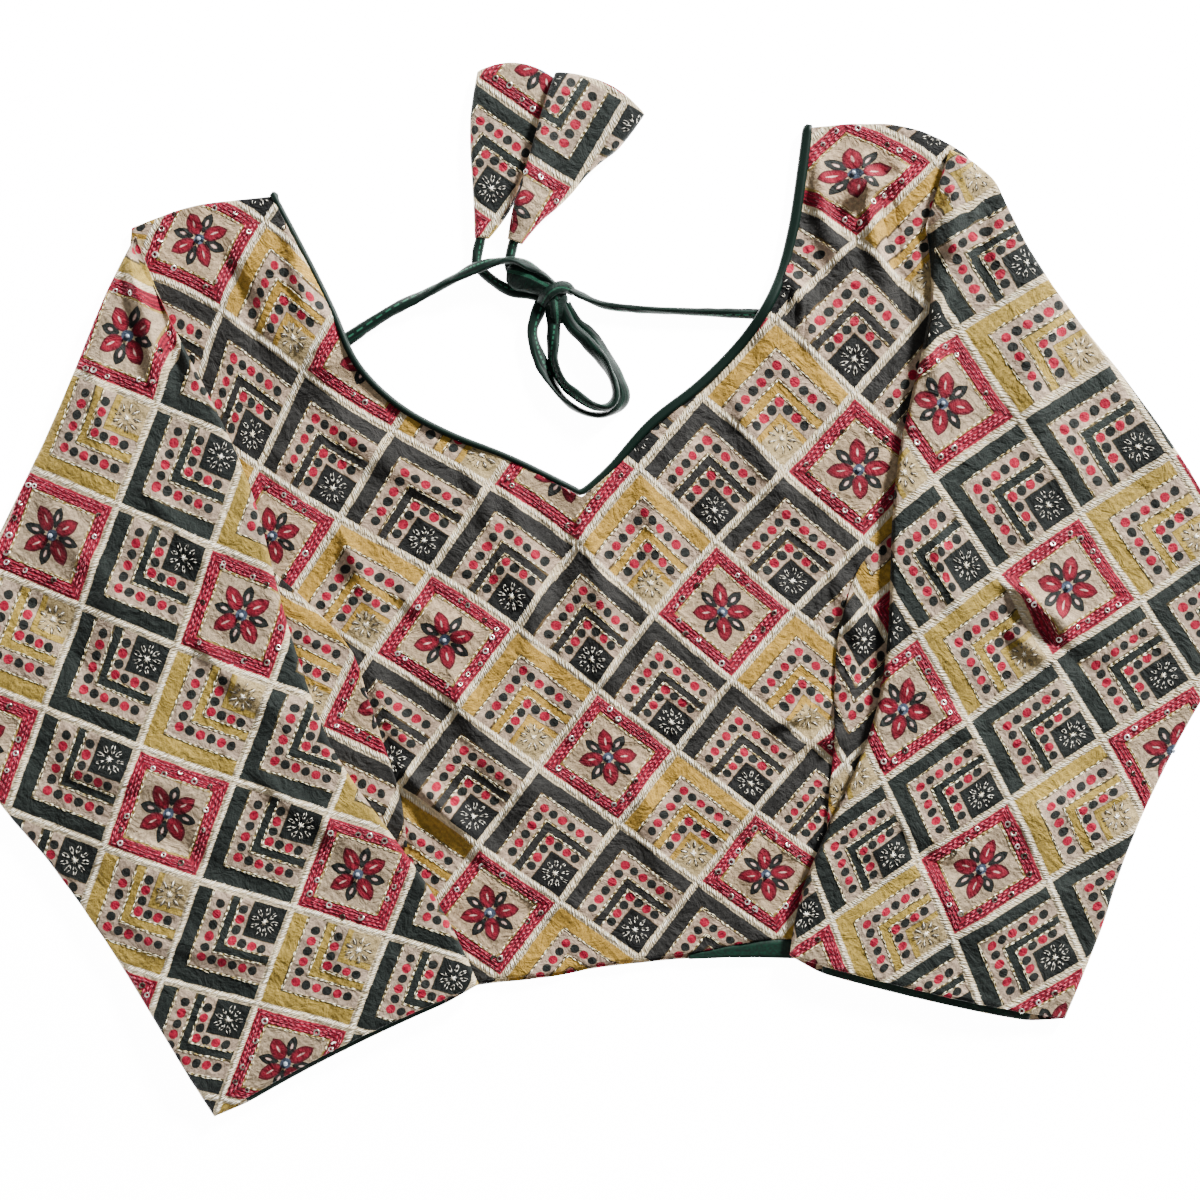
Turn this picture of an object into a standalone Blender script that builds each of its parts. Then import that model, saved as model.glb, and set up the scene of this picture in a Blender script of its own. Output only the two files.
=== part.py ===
# Choli blouse, laid flat: a lined printed blouse with a deep V neck, elbow sleeves folded in over the
# body, and a neck tie of satin cord whose tails end in two cloth tassel cones.
# Tables and sizes are in millimetres, and the meshes in metres. X runs across the blouse, Y towards
# the shoulders and Z up from the surface that it lies on. Left and right are as seen from above.

import math
from collections import namedtuple

import bmesh
import bpy
from mathutils import Vector

MM = 0.001
WALL = 1.2                  # printed cloth with its lining
GAP = 0.3                   # between pieces that touch or are sewn together

# The body is two panels. Each row is one line down the cloth, from the top edge to the hem, and it
# bows sideways by the last column half way down, where the side seams swell to the armpit.
Line = namedtuple("Line", "top_x top_y hem_x hem_y bow")
LEFT_SHOULDER = [
    Line(-208, 176, -178, -189, -20),
    Line(-180, 186, -151, -182, -10),
    Line(-145, 190, -125, -175, -4),
]
LEFT_NECK = [
    Line(-145, 190, -125, -175, -4),
    Line(-129, 160, -112, -173, -2),
    Line(-117, 136, -100, -171, 0),
    Line(-107, 114, -87, -169, 0),
    Line(-89, 96, -71, -166, 0),
    Line(-66, 83, -52, -162, 0),
    Line(-41, 73, -33, -160, 0),
    Line(-19, 62, -17, -158, 0),
    Line(-6, 55, -3, -155, 0),
]
RIGHT_NECK = [
    Line(-6, 55, -3, -155, 0),
    Line(8, 67, 12, -153, 0),
    Line(26, 87, 31, -151, 0),
    Line(49, 105, 51, -148, 0),
    Line(70, 127, 72, -144, 0),
    Line(83, 149, 90, -143, 0),
    Line(90, 173, 104, -144, 2),
    Line(94, 198, 115, -146, 3),
    Line(97, 221, 124, -148, 4),
]
RIGHT_SHOULDER = [
    Line(97, 221, 124, -148, 4),
    Line(127, 223.4, 142, -152, 10),
    Line(151, 218, 158, -156, 15),
    Line(168, 208, 173, -160, 20),
]
SHOULDER_STEPS = 5          # the panels' columns along each shoulder, and down each side of the V
NECK_STEPS = 16
RUNS = [
    (SHOULDER_STEPS, LEFT_SHOULDER),
    (NECK_STEPS, LEFT_NECK),
    (NECK_STEPS, RIGHT_NECK),
    (SHOULDER_STEPS, RIGHT_SHOULDER),
]
NECK_START = SHOULDER_STEPS
NECK_BOTTOM = NECK_START + NECK_STEPS
NECK_END = NECK_BOTTOM + NECK_STEPS
COLUMNS = NECK_END + SHOULDER_STEPS
EDGE_MARGIN = 0.3           # columns: the neck edge is offset square to itself this far from its ends
NORMAL_REACH = 0.25         # columns to each side that give the top edge's direction
FRONT_ROWS_DOWN = 16
BACK_ROWS_DOWN = 8
BACK_SET_BACK = 10          # the lower panel's neck edge lies this far inside the upper one's
BACK_HEM_SHOWS = 2          # and its hem comes this far out below the upper one's

# The lower panel's hem swings out further at its right end, where the lining shows as a slim lip.
HEM_LIP_START = 30
HEM_LIP_END = 90
HEM_LIP_DEPTH = 9
HEM_LINING_START = 42       # the lining is built from here to its end, where the lip is wide enough
HEM_LINING_END = 98
HEM_LINING_STEPS = 12
HEM_CLEARANCE = 0.4
LINING_WALL = 0.9

# Each sleeve is a flattened tube, open at the armhole and the cuff. A row is one section across it,
# from its outer fold to its inner fold, with its height and how far its middle bows to the cuff.
Section = namedtuple("Section", "outer_x outer_y inner_x inner_y height bow")
LEFT_SLEEVE = [
    Section(-206, 172, -197, 149, 2.9, 0),
    Section(-219, 147, -187, 128, 3.4, 3),
    Section(-232, 115, -174, 103, 4.0, 5),
    Section(-248, 79, -160, 74, 4.5, 6),
    Section(-267, 40, -150, 47, 4.8, 6),
    Section(-284, 3, -142, 15, 5.0, 4),
    Section(-290, -36, -131, -22, 5.0, 2),
    Section(-274, -74, -117, -58, 5.0, 0),
    Section(-247, -106, -98, -86, 4.8, 0),
    Section(-221, -142, -79, -112, 4.8, 0),
    Section(-198, -178, -63, -139, 4.8, 0),
    Section(-171, -223, -52, -163, 4.6, -3),
]
RIGHT_SLEEVE = [
    Section(159, 211, 148, 176, 2.9, 0),
    Section(178, 199, 151, 150, 3.4, 3),
    Section(190, 174, 147, 124, 4.0, 5),
    Section(212, 141, 141, 98, 4.5, 6),
    Section(240, 106, 136, 75, 4.8, 6),
    Section(267, 67, 133, 50, 5.0, 5),
    Section(286, 31, 132, 25, 5.0, 4),
    Section(289, -5, 131, -5, 5.0, 2),
    Section(270, -39, 127, -35, 5.0, 0),
    Section(252, -74, 118, -63, 4.8, 0),
    Section(238, -106, 104, -93, 4.8, 0),
    Section(227, -140, 92, -122, 4.8, 0),
    Section(211, -179, 87, -150, 4.6, 2),
]
Tube = namedtuple("Tube", "sections steps flat_steps base lip creases")
FOLD_ROUND_STEPS = 3        # round each of a tube's two folds
SLEEVE_STEPS = 22
SLEEVE_FLAT_STEPS = 9
LEFT_CUFF_LIP = 2.5         # the cuff's lower layer comes out past the upper one
RIGHT_CUFF_LIP = 4
CUFF_LINING_DEPTH = 12
SLEEVE_DROP_START = 12      # outside the body's edge a sleeve comes down to the surface
SLEEVE_DROP_RUN = 22
TRAVEL_REACH = 0.05         # shares of a tube to each side that give its direction

# Under each arm a fold of the body's side lies on the upper panel and runs in below the sleeve.
# A row gives a point of its edge that shows, and how far it runs in from there.
FoldRow = namedtuple("FoldRow", "edge_x edge_y reach")
LEFT_FOLD = [
    FoldRow(-147, 24, 9),
    FoldRow(-131, 10, 24),
    FoldRow(-110, -12, 36),
    FoldRow(-102, -34, 37),
    FoldRow(-94, -58, 34),
    FoldRow(-87, -80, 27),
    FoldRow(-84, -102, 14),
]
RIGHT_FOLD = [
    FoldRow(136, 42, 9),
    FoldRow(119, 25, 25),
    FoldRow(111, 3, 34),
    FoldRow(108, -16, 36),
    FoldRow(107, -36, 35),
    FoldRow(107, -56, 31),
    FoldRow(105, -76, 22),
    FoldRow(104, -94, 12),
]
FOLD_STEPS = 14
FOLD_STEPS_ACROSS = 3

# Soft troughs and ridges: from one point to another, with their breadth and height.
Crease = namedtuple("Crease", "from_x from_y to_x to_y breadth height")
BODY_CREASES = [
    Crease(-64, 60, -22, -118, 14, 1.4),
    Crease(42, 66, 52, -96, 16, 1.6),
    Crease(-8, 42, 4, -60, 11, 1.0),
    Crease(86, -94, 62, -112, 8, 1.2),
    Crease(118, 196, 112, 150, 10, 1.4),
    Crease(-160, 168, -150, 110, 10, 1.2),
]
SLEEVE_CREASES = [
    Crease(-204, 150, -206, 96, 7, 0.9),
    Crease(-226, 96, -196, 22, 12, 1.0),
    Crease(-262, -22, -168, -66, 13, 1.1),
    Crease(-232, -92, -150, -134, 11, 0.9),
    Crease(174, 196, 160, 150, 6, 1.0),
    Crease(214, 118, 168, 44, 12, 1.0),
    Crease(262, 4, 164, -22, 13, 1.1),
    Crease(232, -72, 140, -96, 11, 0.9),
]
STRING_LIFTS = [(-114.5, 122), (81, 137)]     # the neck edge rises over each string that comes out
STRING_LIFT_HEIGHT = 4.9
STRING_LIFT_BREADTH = 16
ROWS_CROWD = 1.6            # the panels' rows lie closer together towards the top edge

PIPING_RADIUS = 1.4
PIPING_STEPS = 64
PIPING_CLEARANCE = 0.5      # between the piping and the neck edge
PIPING_RISE = 1             # its middle above the upper panel's underside
POINT_SPREAD = 1.5          # it stands further off at the point of the V

# The tie's strings, tails and loops. Points are chosen by hand along each one, with the height of
# its middle, and every strand stops just short of the knot.
CORD_RADIUS = 2.1
CORD_STEP = 9
LEFT_STRING = [
    (-119.4, 118.1, 2.15), (-111, 126, 2.15), (-93, 139, 2.15), (-76, 149, 3.2), (-60, 157, 6.4),
    (-45, 161.5, 6.9), (-35, 162.3, 6.8), (-27.5, 161, 6), (-24, 158.6, 5.2), (-23.2, 156.9, 4.8),
]
RIGHT_STRING = [
    (86.2, 136.8, 2.15), (68, 137.5, 2.15), (45, 138.4, 2.15), (20, 140, 2.15), (5, 142.6, 2.3),
    (-5.9, 146.4, 3.4),
]
LEFT_TAIL = [
    (-51, 170.5, 2.15), (-52.8, 165, 2.15), (-52.5, 159, 2.15), (-46, 152.5, 2.15),
    (-38, 148, 2.15), (-30, 145.8, 2.3),
]
RIGHT_TAIL = [
    (-36.1, 169.3, 2.15), (-38, 163.6, 2.15), (-37.6, 157.5, 2.15), (-34.8, 153.2, 2.15),
    (-30.4, 151.4, 2.5),
]
OUTER_LOOP = [
    (-25.8, 140.7, 2.4), (-28, 131, 2.15), (-26.5, 122, 2.15), (-22.5, 112.5, 2.15),
    (-15.5, 101, 2.15), (-8, 94.6, 2.15), (1.5, 92, 2.15), (9.5, 94.4, 2.15), (13, 100.4, 2.15),
    (10.8, 108.4, 2.15), (5.2, 118.2, 2.15), (-2, 127.6, 2.15), (-7.9, 134.4, 2.2), (-10, 140.3, 2.4),
]
INNER_LOOP = [
    (-20.6, 140.6, 2.4), (-22, 132, 2.15), (-19.6, 121, 2.15), (-15, 112, 2.15),
    (-8.6, 105, 2.15), (0, 100.6, 2.15), (4, 103.8, 2.15), (0.4, 112.6, 2.15),
    (-6.4, 121.4, 2.15), (-13, 131.4, 2.15), (-15.4, 140.4, 2.4),
]
KNOT_CENTRE = (-18.2, 148.4, 4.3)
KNOT_SIZE = (22, 14.6, 8.4)
KNOT_ROUND = 3.4

# Each tassel is a flattened cloth cone, sewn shut round its tail and open at the wide end.
LEFT_TASSEL = [
    Section(-54.2, 171.6, -47.4, 171.2, 4.2, 0),
    Section(-54.4, 181.5, -39.4, 181.3, 4.4, 0),
    Section(-55.2, 196, -32.4, 195, 4.5, 0),
    Section(-56.2, 212, -26.6, 210, 4.5, 0),
    Section(-56, 228, -21.4, 225.6, 4.5, 1),
    Section(-53, 246, -16.4, 241.6, 4.4, 6),
]
RIGHT_TASSEL = [
    Section(-39.4, 171.2, -32.6, 168.6, 4.2, 0),
    Section(-37.2, 183.4, -24.2, 178.8, 4.4, 0),
    Section(-33, 197, -12.6, 188.6, 4.6, 0),
    Section(-28, 212.4, -1.4, 202, 4.8, 0),
    Section(-23.4, 229.4, 11.4, 211.8, 4.8, 1),
    Section(-18, 244.4, 22.4, 226.8, 4.6, 6),
]
TASSEL_STEPS = 9
TASSEL_FLAT_STEPS = 5
TASSEL_RUN = 14             # how soon the upper tassel comes down off the lower one
TASSEL_NECK_Y = 172         # its narrow end lies on the surface, and it rises from there

COLOURS = {                 # base colour and roughness
    "printed_cotton": ((0.67, 0.59, 0.48), 0.85),
    "green_lining": ((0.006, 0.055, 0.028), 0.6),
    "satin_cord": ((0.004, 0.04, 0.02), 0.35),
}


def clear_scene():
    for obj in list(bpy.data.objects):
        bpy.data.objects.remove(obj, do_unlink=True)


def make_collection(name):
    collection = bpy.data.collections.new(name)
    bpy.context.scene.collection.children.link(collection)
    return collection


def make_materials():
    materials = {}
    for name, (colour, roughness) in COLOURS.items():
        material = bpy.data.materials.new(name)
        material.use_nodes = True
        shader = material.node_tree.nodes["Principled BSDF"]
        shader.inputs["Base Color"].default_value = (*colour, 1)
        shader.inputs["Roughness"].default_value = roughness
        shader.inputs["Metallic"].default_value = 0
        materials[name] = material
    return materials


def smooth_row(rows, place):
    # The row at a place from 0 to 1 on the smooth curve that passes through all the rows.
    last = len(rows) - 1
    start = min(int(place * last), last - 1)
    t = place * last - start
    near = [rows[max(0, min(last, start + step))] for step in (-1, 0, 1, 2)]
    values = []
    for a, b, c, d in zip(*near):
        values.append(0.5 * (2 * b + (c - a) * t + (2 * a - 5 * b + 4 * c - d) * t * t
                             + (3 * b - a - 3 * c + d) * t ** 3))
    return values


def ease(amount):
    amount = max(0.0, min(1.0, amount))
    return amount * amount * (3 - 2 * amount)


def distance_to_segment(point, start, end):
    along = end - start
    length = along.length_squared
    t = max(0.0, min(1.0, (point - start).dot(along) / length)) if length else 0.0
    return (point - start - along * t).length


def distance_outside(point, outline):
    # How far a point lies outside a closed outline, or 0 inside it.
    inside = False
    nearest = math.inf
    for start, end in zip(outline, outline[1:] + outline[:1]):
        nearest = min(nearest, distance_to_segment(point, start, end))
        if (start.y > point.y) != (end.y > point.y):
            crossing = start.x + (point.y - start.y) / (end.y - start.y) * (end.x - start.x)
            if point.x < crossing:
                inside = not inside
    return 0.0 if inside else nearest


def crease_height(creases, x, y):
    total = 0.0
    point = Vector((x, y))
    for crease in creases:
        start = Vector((crease.from_x, crease.from_y))
        end = Vector((crease.to_x, crease.to_y))
        away = distance_to_segment(point, start, end) / crease.breadth
        total += crease.height * math.exp(-away * away)
    return total


def panel_line(column):
    # The line down the body at a column of the panels' grid.
    for steps, rows in RUNS:
        if column <= steps:
            return Line(*smooth_row(rows, column / steps))
        column -= steps
    return RUNS[-1][1][-1]


def top_normal(column):
    # Across the top edge, out of the cloth.
    before = panel_line(max(0, column - NORMAL_REACH))
    after = panel_line(min(COLUMNS, column + NORMAL_REACH))
    along = Vector((after.top_x - before.top_x, after.top_y - before.top_y)).normalized()
    return Vector((-along.y, along.x))


def hem_lip(x):
    grow = ease((x - HEM_LIP_START) / (HEM_LIP_END - HEM_LIP_START))
    return BACK_HEM_SHOWS + grow * (HEM_LIP_DEPTH - BACK_HEM_SHOWS)


def panel_point(column, down, lower):
    # A point of the body at a column and a share of the way down it, in plan.
    line = panel_line(column)
    top = Vector((line.top_x, line.top_y))
    hem = Vector((line.hem_x, line.hem_y))
    if lower:
        nearest = min(NECK_END - EDGE_MARGIN, max(NECK_START + EDGE_MARGIN, column))
        along_shoulder = abs(column - nearest) / SHOULDER_STEPS
        top -= top_normal(nearest) * BACK_SET_BACK * max(0, 1 - along_shoulder)
        hem.y -= hem_lip(hem.x)
    point = top.lerp(hem, down)
    point.x += line.bow * math.sin(math.pi * down)
    return point


def front_under(x, y):
    # The height of the upper panel's underside.
    lift = crease_height(BODY_CREASES, x, y)
    for lift_x, lift_y in STRING_LIFTS:
        away = math.hypot(x - lift_x, y - lift_y) / STRING_LIFT_BREADTH
        lift += STRING_LIFT_HEIGHT * math.exp(-away * away)
    return WALL + GAP + lift


def body_outline():
    top = [panel_point(column, 0, False) for column in range(COLUMNS + 1)]
    right = [panel_point(COLUMNS, down / 8, False) for down in range(1, 8)]
    hem = [panel_point(column, 1, False) for column in range(COLUMNS, -1, -1)]
    left = [panel_point(0, down / 8, False) for down in range(7, 0, -1)]
    return top + right + hem + left


def fold_point(rows, side, along, across):
    row = FoldRow(*smooth_row(rows, along))
    return Vector((row.edge_x + side * row.reach * across, row.edge_y))


def fold_outline(rows, side):
    steps = [step / FOLD_STEPS for step in range(FOLD_STEPS + 1)]
    shown = [fold_point(rows, side, along, 0) for along in steps]
    hidden = [fold_point(rows, side, along, 1) for along in reversed(steps)]
    return shown + hidden


def sleeve_base(point, body, fold):
    # The underside of a sleeve: over the body and its underarm fold, and down to the surface beyond.
    off_body = (distance_outside(point, body) - SLEEVE_DROP_START) / SLEEVE_DROP_RUN
    off_fold = (distance_outside(point, fold) - SLEEVE_DROP_START) / SLEEVE_DROP_RUN
    over_front = front_under(point.x, point.y) + WALL + GAP
    return (1 - ease(off_body)) * (over_front + (WALL + GAP) * (1 - ease(off_fold)))


def add_mesh(collection, name, bm, material, smooth_angle=50):
    mesh = bpy.data.meshes.new(name)
    bm.to_mesh(mesh)
    bm.free()
    mesh.materials.append(material)
    mesh.shade_smooth()
    mesh.set_sharp_from_angle(angle=math.radians(smooth_angle))
    obj = bpy.data.objects.new(name, mesh)
    collection.objects.link(obj)
    return obj


def add_wall(obj, thickness, outwards):
    wall = obj.modifiers.new("wall", "SOLIDIFY")
    wall.thickness = thickness * MM
    wall.offset = 1 if outwards else -1
    wall.use_even_offset = True
    return wall


def sheet_from_grid(collection, name, steps_across, steps_down, place, material, wall=WALL):
    # A cloth sheet with its underside where place(across, down) puts it and its wall above that.
    bm = bmesh.new()
    bmesh.ops.create_grid(bm, x_segments=steps_across, y_segments=steps_down, size=0.5)
    for vert in bm.verts:
        vert.co = Vector(place(vert.co.x + 0.5, 0.5 - vert.co.y)) * MM
    if sum(face.normal.z for face in refreshed(bm)) < 0:
        bmesh.ops.reverse_faces(bm, faces=bm.faces)
    obj = add_mesh(collection, name, bm, material)
    add_wall(obj, wall, True)
    return obj


def refreshed(bm):
    bm.normal_update()
    return bm.faces


def ring_place(step, width, height, flat_steps):
    # Where a step round a flattened tube lies: across it, above its middle, and on top or not. Step 0
    # is the inner fold; the steps run over the top to the outer fold, and then back underneath.
    half_steps = flat_steps + 2 * FOLD_ROUND_STEPS
    radius = height / 2
    on_top = step <= half_steps
    if not on_top:
        step = 2 * half_steps - step
    from_fold = min(step, half_steps - step)
    if from_fold < FOLD_ROUND_STEPS:
        turn = math.pi / 2 * from_fold / FOLD_ROUND_STEPS
        across = radius * (1 - math.cos(turn))
        rise = radius * math.sin(turn)
        if step > FOLD_ROUND_STEPS:
            across = width - across
    else:
        across = radius + (width - 2 * radius) * (step - FOLD_ROUND_STEPS) / flat_steps
        rise = radius
    return across, rise if on_top else -rise, on_top


def tube_point(tube, along, step):
    # A point of a flattened tube's outer surface, at a share of its length and a step round it.
    row = Section(*smooth_row(tube.sections, along))
    inner = Vector((row.inner_x, row.inner_y))
    outer = Vector((row.outer_x, row.outer_y))
    width = (outer - inner).length
    across, rise, on_top = ring_place(step, width, row.height, tube.flat_steps)
    middle = 4 * across / width * (1 - across / width)
    to_cuff = (outer - inner).normalized().orthogonal()
    if to_cuff.dot(section_travel(tube.sections, along)) < 0:
        to_cuff.negate()
    point = inner.lerp(outer, across / width) + to_cuff * row.bow * middle
    if not on_top and math.isclose(along, 1, abs_tol=1e-4):
        point += to_cuff * tube.lip * min(1, middle * 3)
    z = tube.base(point) + row.height / 2 + rise
    if on_top:
        z += crease_height(tube.creases, point.x, point.y) * min(1, middle * 2)
    return Vector((point.x, point.y, z))


def tube_from_sections(collection, name, tube, material):
    around = 2 * (tube.flat_steps + 2 * FOLD_ROUND_STEPS)
    bm = bmesh.new()
    bmesh.ops.create_grid(bm, x_segments=around, y_segments=tube.steps, size=0.5)
    for vert in bm.verts:
        vert.co = tube_point(tube, 0.5 - vert.co.y, round((vert.co.x + 0.5) * around)) * MM
    bmesh.ops.remove_doubles(bm, verts=bm.verts, dist=0.01 * MM)
    top_faces = [face for face in refreshed(bm) if abs(face.normal.z) > 0.8]
    highest = max(top_faces, key=lambda face: face.calc_center_median().z)
    if highest.normal.z < 0:
        bmesh.ops.reverse_faces(bm, faces=bm.faces)
    obj = add_mesh(collection, name, bm, material)
    add_wall(obj, WALL, False)
    return obj


def section_travel(sections, along):
    before = Section(*smooth_row(sections, max(0, along - TRAVEL_REACH)))
    after = Section(*smooth_row(sections, min(1, along + TRAVEL_REACH)))
    return Vector((after.outer_x + after.inner_x - before.outer_x - before.inner_x,
                   after.outer_y + after.inner_y - before.outer_y - before.inner_y))


def make_panels(collection, materials):
    def back(across, down):
        point = panel_point(across * COLUMNS, down ** ROWS_CROWD, True)
        return point.x, point.y, 0

    def front(across, down):
        point = panel_point(across * COLUMNS, down ** ROWS_CROWD, False)
        return point.x, point.y, front_under(point.x, point.y)

    cloth = materials["printed_cotton"]
    sheet_from_grid(collection, "back_panel", COLUMNS, BACK_ROWS_DOWN, back, cloth)
    sheet_from_grid(collection, "front_panel", COLUMNS, FRONT_ROWS_DOWN, front, cloth)


def make_hem_lining(collection, materials):
    # The lip of lining on the lower panel, along the right end of the hem.
    hem = [panel_point(step / 4, 1, False) for step in range(COLUMNS * 4 + 1)]

    def place(across, down):
        x = HEM_LINING_START + (HEM_LINING_END - HEM_LINING_START) * across
        shown = min(hem, key=lambda point: abs(point.x - x)).y - HEM_CLEARANCE
        depth = hem_lip(x) - HEM_CLEARANCE
        return x, shown - depth * down, WALL + GAP

    sheet_from_grid(collection, "hem_lining", HEM_LINING_STEPS, 1, place, materials["green_lining"],
                    LINING_WALL)


def make_underarm_folds(collection, materials):
    for name, rows, side in (("left_underarm_fold", LEFT_FOLD, -1), ("right_underarm_fold", RIGHT_FOLD, 1)):
        def place(across, down):
            point = fold_point(rows, side, down, across)
            return point.x, point.y, front_under(point.x, point.y) + WALL + GAP

        sheet_from_grid(collection, name, FOLD_STEPS_ACROSS, FOLD_STEPS, place,
                        materials["printed_cotton"])


def make_sleeves(collection, materials):
    body = body_outline()
    sides = (
        ("left", LEFT_SLEEVE, fold_outline(LEFT_FOLD, -1), LEFT_CUFF_LIP),
        ("right", RIGHT_SLEEVE, fold_outline(RIGHT_FOLD, 1), RIGHT_CUFF_LIP),
    )
    for side, sections, fold, lip in sides:
        def base(point):
            return sleeve_base(point, body, fold)

        tube = Tube(sections, SLEEVE_STEPS, SLEEVE_FLAT_STEPS, base, lip, SLEEVE_CREASES)
        tube_from_sections(collection, side + "_sleeve", tube, materials["printed_cotton"])
        make_cuff_lining(collection, side + "_cuff_lining", tube, materials["green_lining"])


def make_cuff_lining(collection, name, tube, material):
    # A strip of lining inside the cuff, made from the lower layer's own points, moved up.
    half_steps = tube.flat_steps + 2 * FOLD_ROUND_STEPS
    first = half_steps + FOLD_ROUND_STEPS + 1
    strip_steps = tube.flat_steps - 2

    def place(across, down):
        step = first + round(across * strip_steps)
        above = tube_point(tube, 1 - 1 / tube.steps, step)
        edge = tube_point(tube, 1, step)
        reach = CUFF_LINING_DEPTH * (1 - down) + GAP
        point = edge + (above - edge).normalized() * reach
        return point.x, point.y, point.z + WALL + GAP

    sheet_from_grid(collection, name, strip_steps, 1, place, material, LINING_WALL)


def make_cord(collection, name, points, radius, material):
    curve = bpy.data.curves.new(name, "CURVE")
    curve.dimensions = "3D"
    curve.bevel_depth = radius * MM
    curve.bevel_resolution = 2
    curve.use_fill_caps = True
    spline = curve.splines.new("POLY")
    spline.points.add(len(points) - 1)
    for spline_point, point in zip(spline.points, points):
        spline_point.co = (point[0] * MM, point[1] * MM, point[2] * MM, 1)
    curve.materials.append(material)
    obj = bpy.data.objects.new(name, curve)
    collection.objects.link(obj)
    return obj


def route_points(route):
    length = sum(math.dist(a, b) for a, b in zip(route, route[1:]))
    count = max(4, round(length / CORD_STEP))
    points = [smooth_row(route, step / count) for step in range(count + 1)]
    return [(x, y, max(z, CORD_RADIUS + 0.05)) for x, y, z in points]


def make_neck_piping(collection, materials):
    # The corded edge that runs down one side of the V and up the other.
    points = []
    for step in range(PIPING_STEPS + 1):
        column = NECK_START + (NECK_END - NECK_START) * step / PIPING_STEPS
        edge = panel_point(column, 0, False)
        inside = min(NECK_END - EDGE_MARGIN, max(NECK_START + EDGE_MARGIN, column))
        off = PIPING_RADIUS + PIPING_CLEARANCE
        if column == NECK_BOTTOM:
            off *= POINT_SPREAD
        centre = edge + top_normal(inside) * off
        points.append((centre.x, centre.y, front_under(edge.x, edge.y) + PIPING_RISE))
    make_cord(collection, "neck_piping", points, PIPING_RADIUS, materials["satin_cord"])


def make_tie(collection, materials):
    satin = materials["satin_cord"]
    strands = {
        "left_string": LEFT_STRING,
        "right_string": RIGHT_STRING,
        "left_tail": LEFT_TAIL,
        "right_tail": RIGHT_TAIL,
        "outer_loop": OUTER_LOOP,
        "inner_loop": INNER_LOOP,
    }
    for name, route in strands.items():
        make_cord(collection, name, route_points(route), CORD_RADIUS, satin)
    bm = bmesh.new()
    bmesh.ops.create_cube(bm, size=1)
    bmesh.ops.scale(bm, verts=bm.verts, vec=Vector(KNOT_SIZE) * MM)
    bmesh.ops.translate(bm, verts=bm.verts, vec=Vector(KNOT_CENTRE) * MM)
    knot = add_mesh(collection, "dori_knot", bm, satin)
    rounding = knot.modifiers.new("rounding", "BEVEL")
    rounding.width = KNOT_ROUND * MM
    rounding.segments = 3


def make_tassels(collection, materials):
    cloth = materials["printed_cotton"]
    steps = [step / TASSEL_STEPS for step in range(TASSEL_STEPS + 1)]
    rows = [Section(*smooth_row(LEFT_TASSEL, along)) for along in steps]
    lower = [Vector((row.outer_x, row.outer_y)) for row in rows]
    lower += [Vector((row.inner_x, row.inner_y)) for row in reversed(rows)]
    lift = max(row.height for row in LEFT_TASSEL) + 2 * GAP

    def upper_base(point):
        off_lower = (distance_outside(point, lower) - GAP * 2) / TASSEL_RUN
        return lift * (1 - ease(off_lower)) * ease((point.y - TASSEL_NECK_Y) / TASSEL_RUN)

    for name, rows, base in (("left_tassel", LEFT_TASSEL, lambda point: 0.0),
                             ("right_tassel", RIGHT_TASSEL, upper_base)):
        tube = Tube(rows, TASSEL_STEPS, TASSEL_FLAT_STEPS, base, 0, [])
        tube_from_sections(collection, name, tube, cloth)


def main():
    clear_scene()
    collection = make_collection("choli_blouse")
    materials = make_materials()
    make_panels(collection, materials)
    make_hem_lining(collection, materials)
    make_underarm_folds(collection, materials)
    make_sleeves(collection, materials)
    make_neck_piping(collection, materials)
    make_tie(collection, materials)
    make_tassels(collection, materials)


main()
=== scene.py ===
import math

import bmesh
import bpy
import numpy as np
from mathutils import Matrix, Vector, noise
from mathutils.bvhtree import BVHTree
from mathutils.kdtree import KDTree


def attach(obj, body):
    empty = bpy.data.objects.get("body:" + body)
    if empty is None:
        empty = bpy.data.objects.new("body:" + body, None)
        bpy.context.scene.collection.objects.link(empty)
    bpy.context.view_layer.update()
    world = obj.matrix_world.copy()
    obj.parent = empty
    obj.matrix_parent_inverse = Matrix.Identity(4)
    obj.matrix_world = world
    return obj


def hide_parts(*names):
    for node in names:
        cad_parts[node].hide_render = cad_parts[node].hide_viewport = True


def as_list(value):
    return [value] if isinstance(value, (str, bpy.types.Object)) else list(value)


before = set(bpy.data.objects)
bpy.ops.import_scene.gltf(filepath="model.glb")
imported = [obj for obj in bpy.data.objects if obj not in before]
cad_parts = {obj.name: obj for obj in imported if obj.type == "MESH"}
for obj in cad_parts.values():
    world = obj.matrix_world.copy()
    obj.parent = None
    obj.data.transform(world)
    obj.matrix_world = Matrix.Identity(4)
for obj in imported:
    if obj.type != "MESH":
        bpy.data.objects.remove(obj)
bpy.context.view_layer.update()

mm = 0.001
random = np.random.default_rng(7)

# The picture's scale: its pixels to the blouse's millimetres.
picture = {"mmPerPixel": 0.45, "originX": 595, "originY": 620, "size": 1200}


def fromPicture(pixels):
    # points in the picture to millimetres on the blouse
    points = np.asarray(pixels, float)
    x = (points[..., 0] - picture["originX"]) * picture["mmPerPixel"]
    y = (picture["originY"] - points[..., 1]) * picture["mmPerPixel"]
    return np.stack([x, y], axis=-1)


# Camera, floor and lights
studio = {
    "cameraHeight": 1.0,
    "sensor": 36,
    "floor": "F4F4F2", "floorGlow": 14.0,
    "worldStrength": 0.22,
    "keyPlace": (1.5, 2.0, 1.05), "keySize": 0.34, "keyPower": 420,
    "fillPlace": (-0.7, -0.4, 1.5), "fillSize": 1.2, "fillPower": 6,
}


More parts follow.
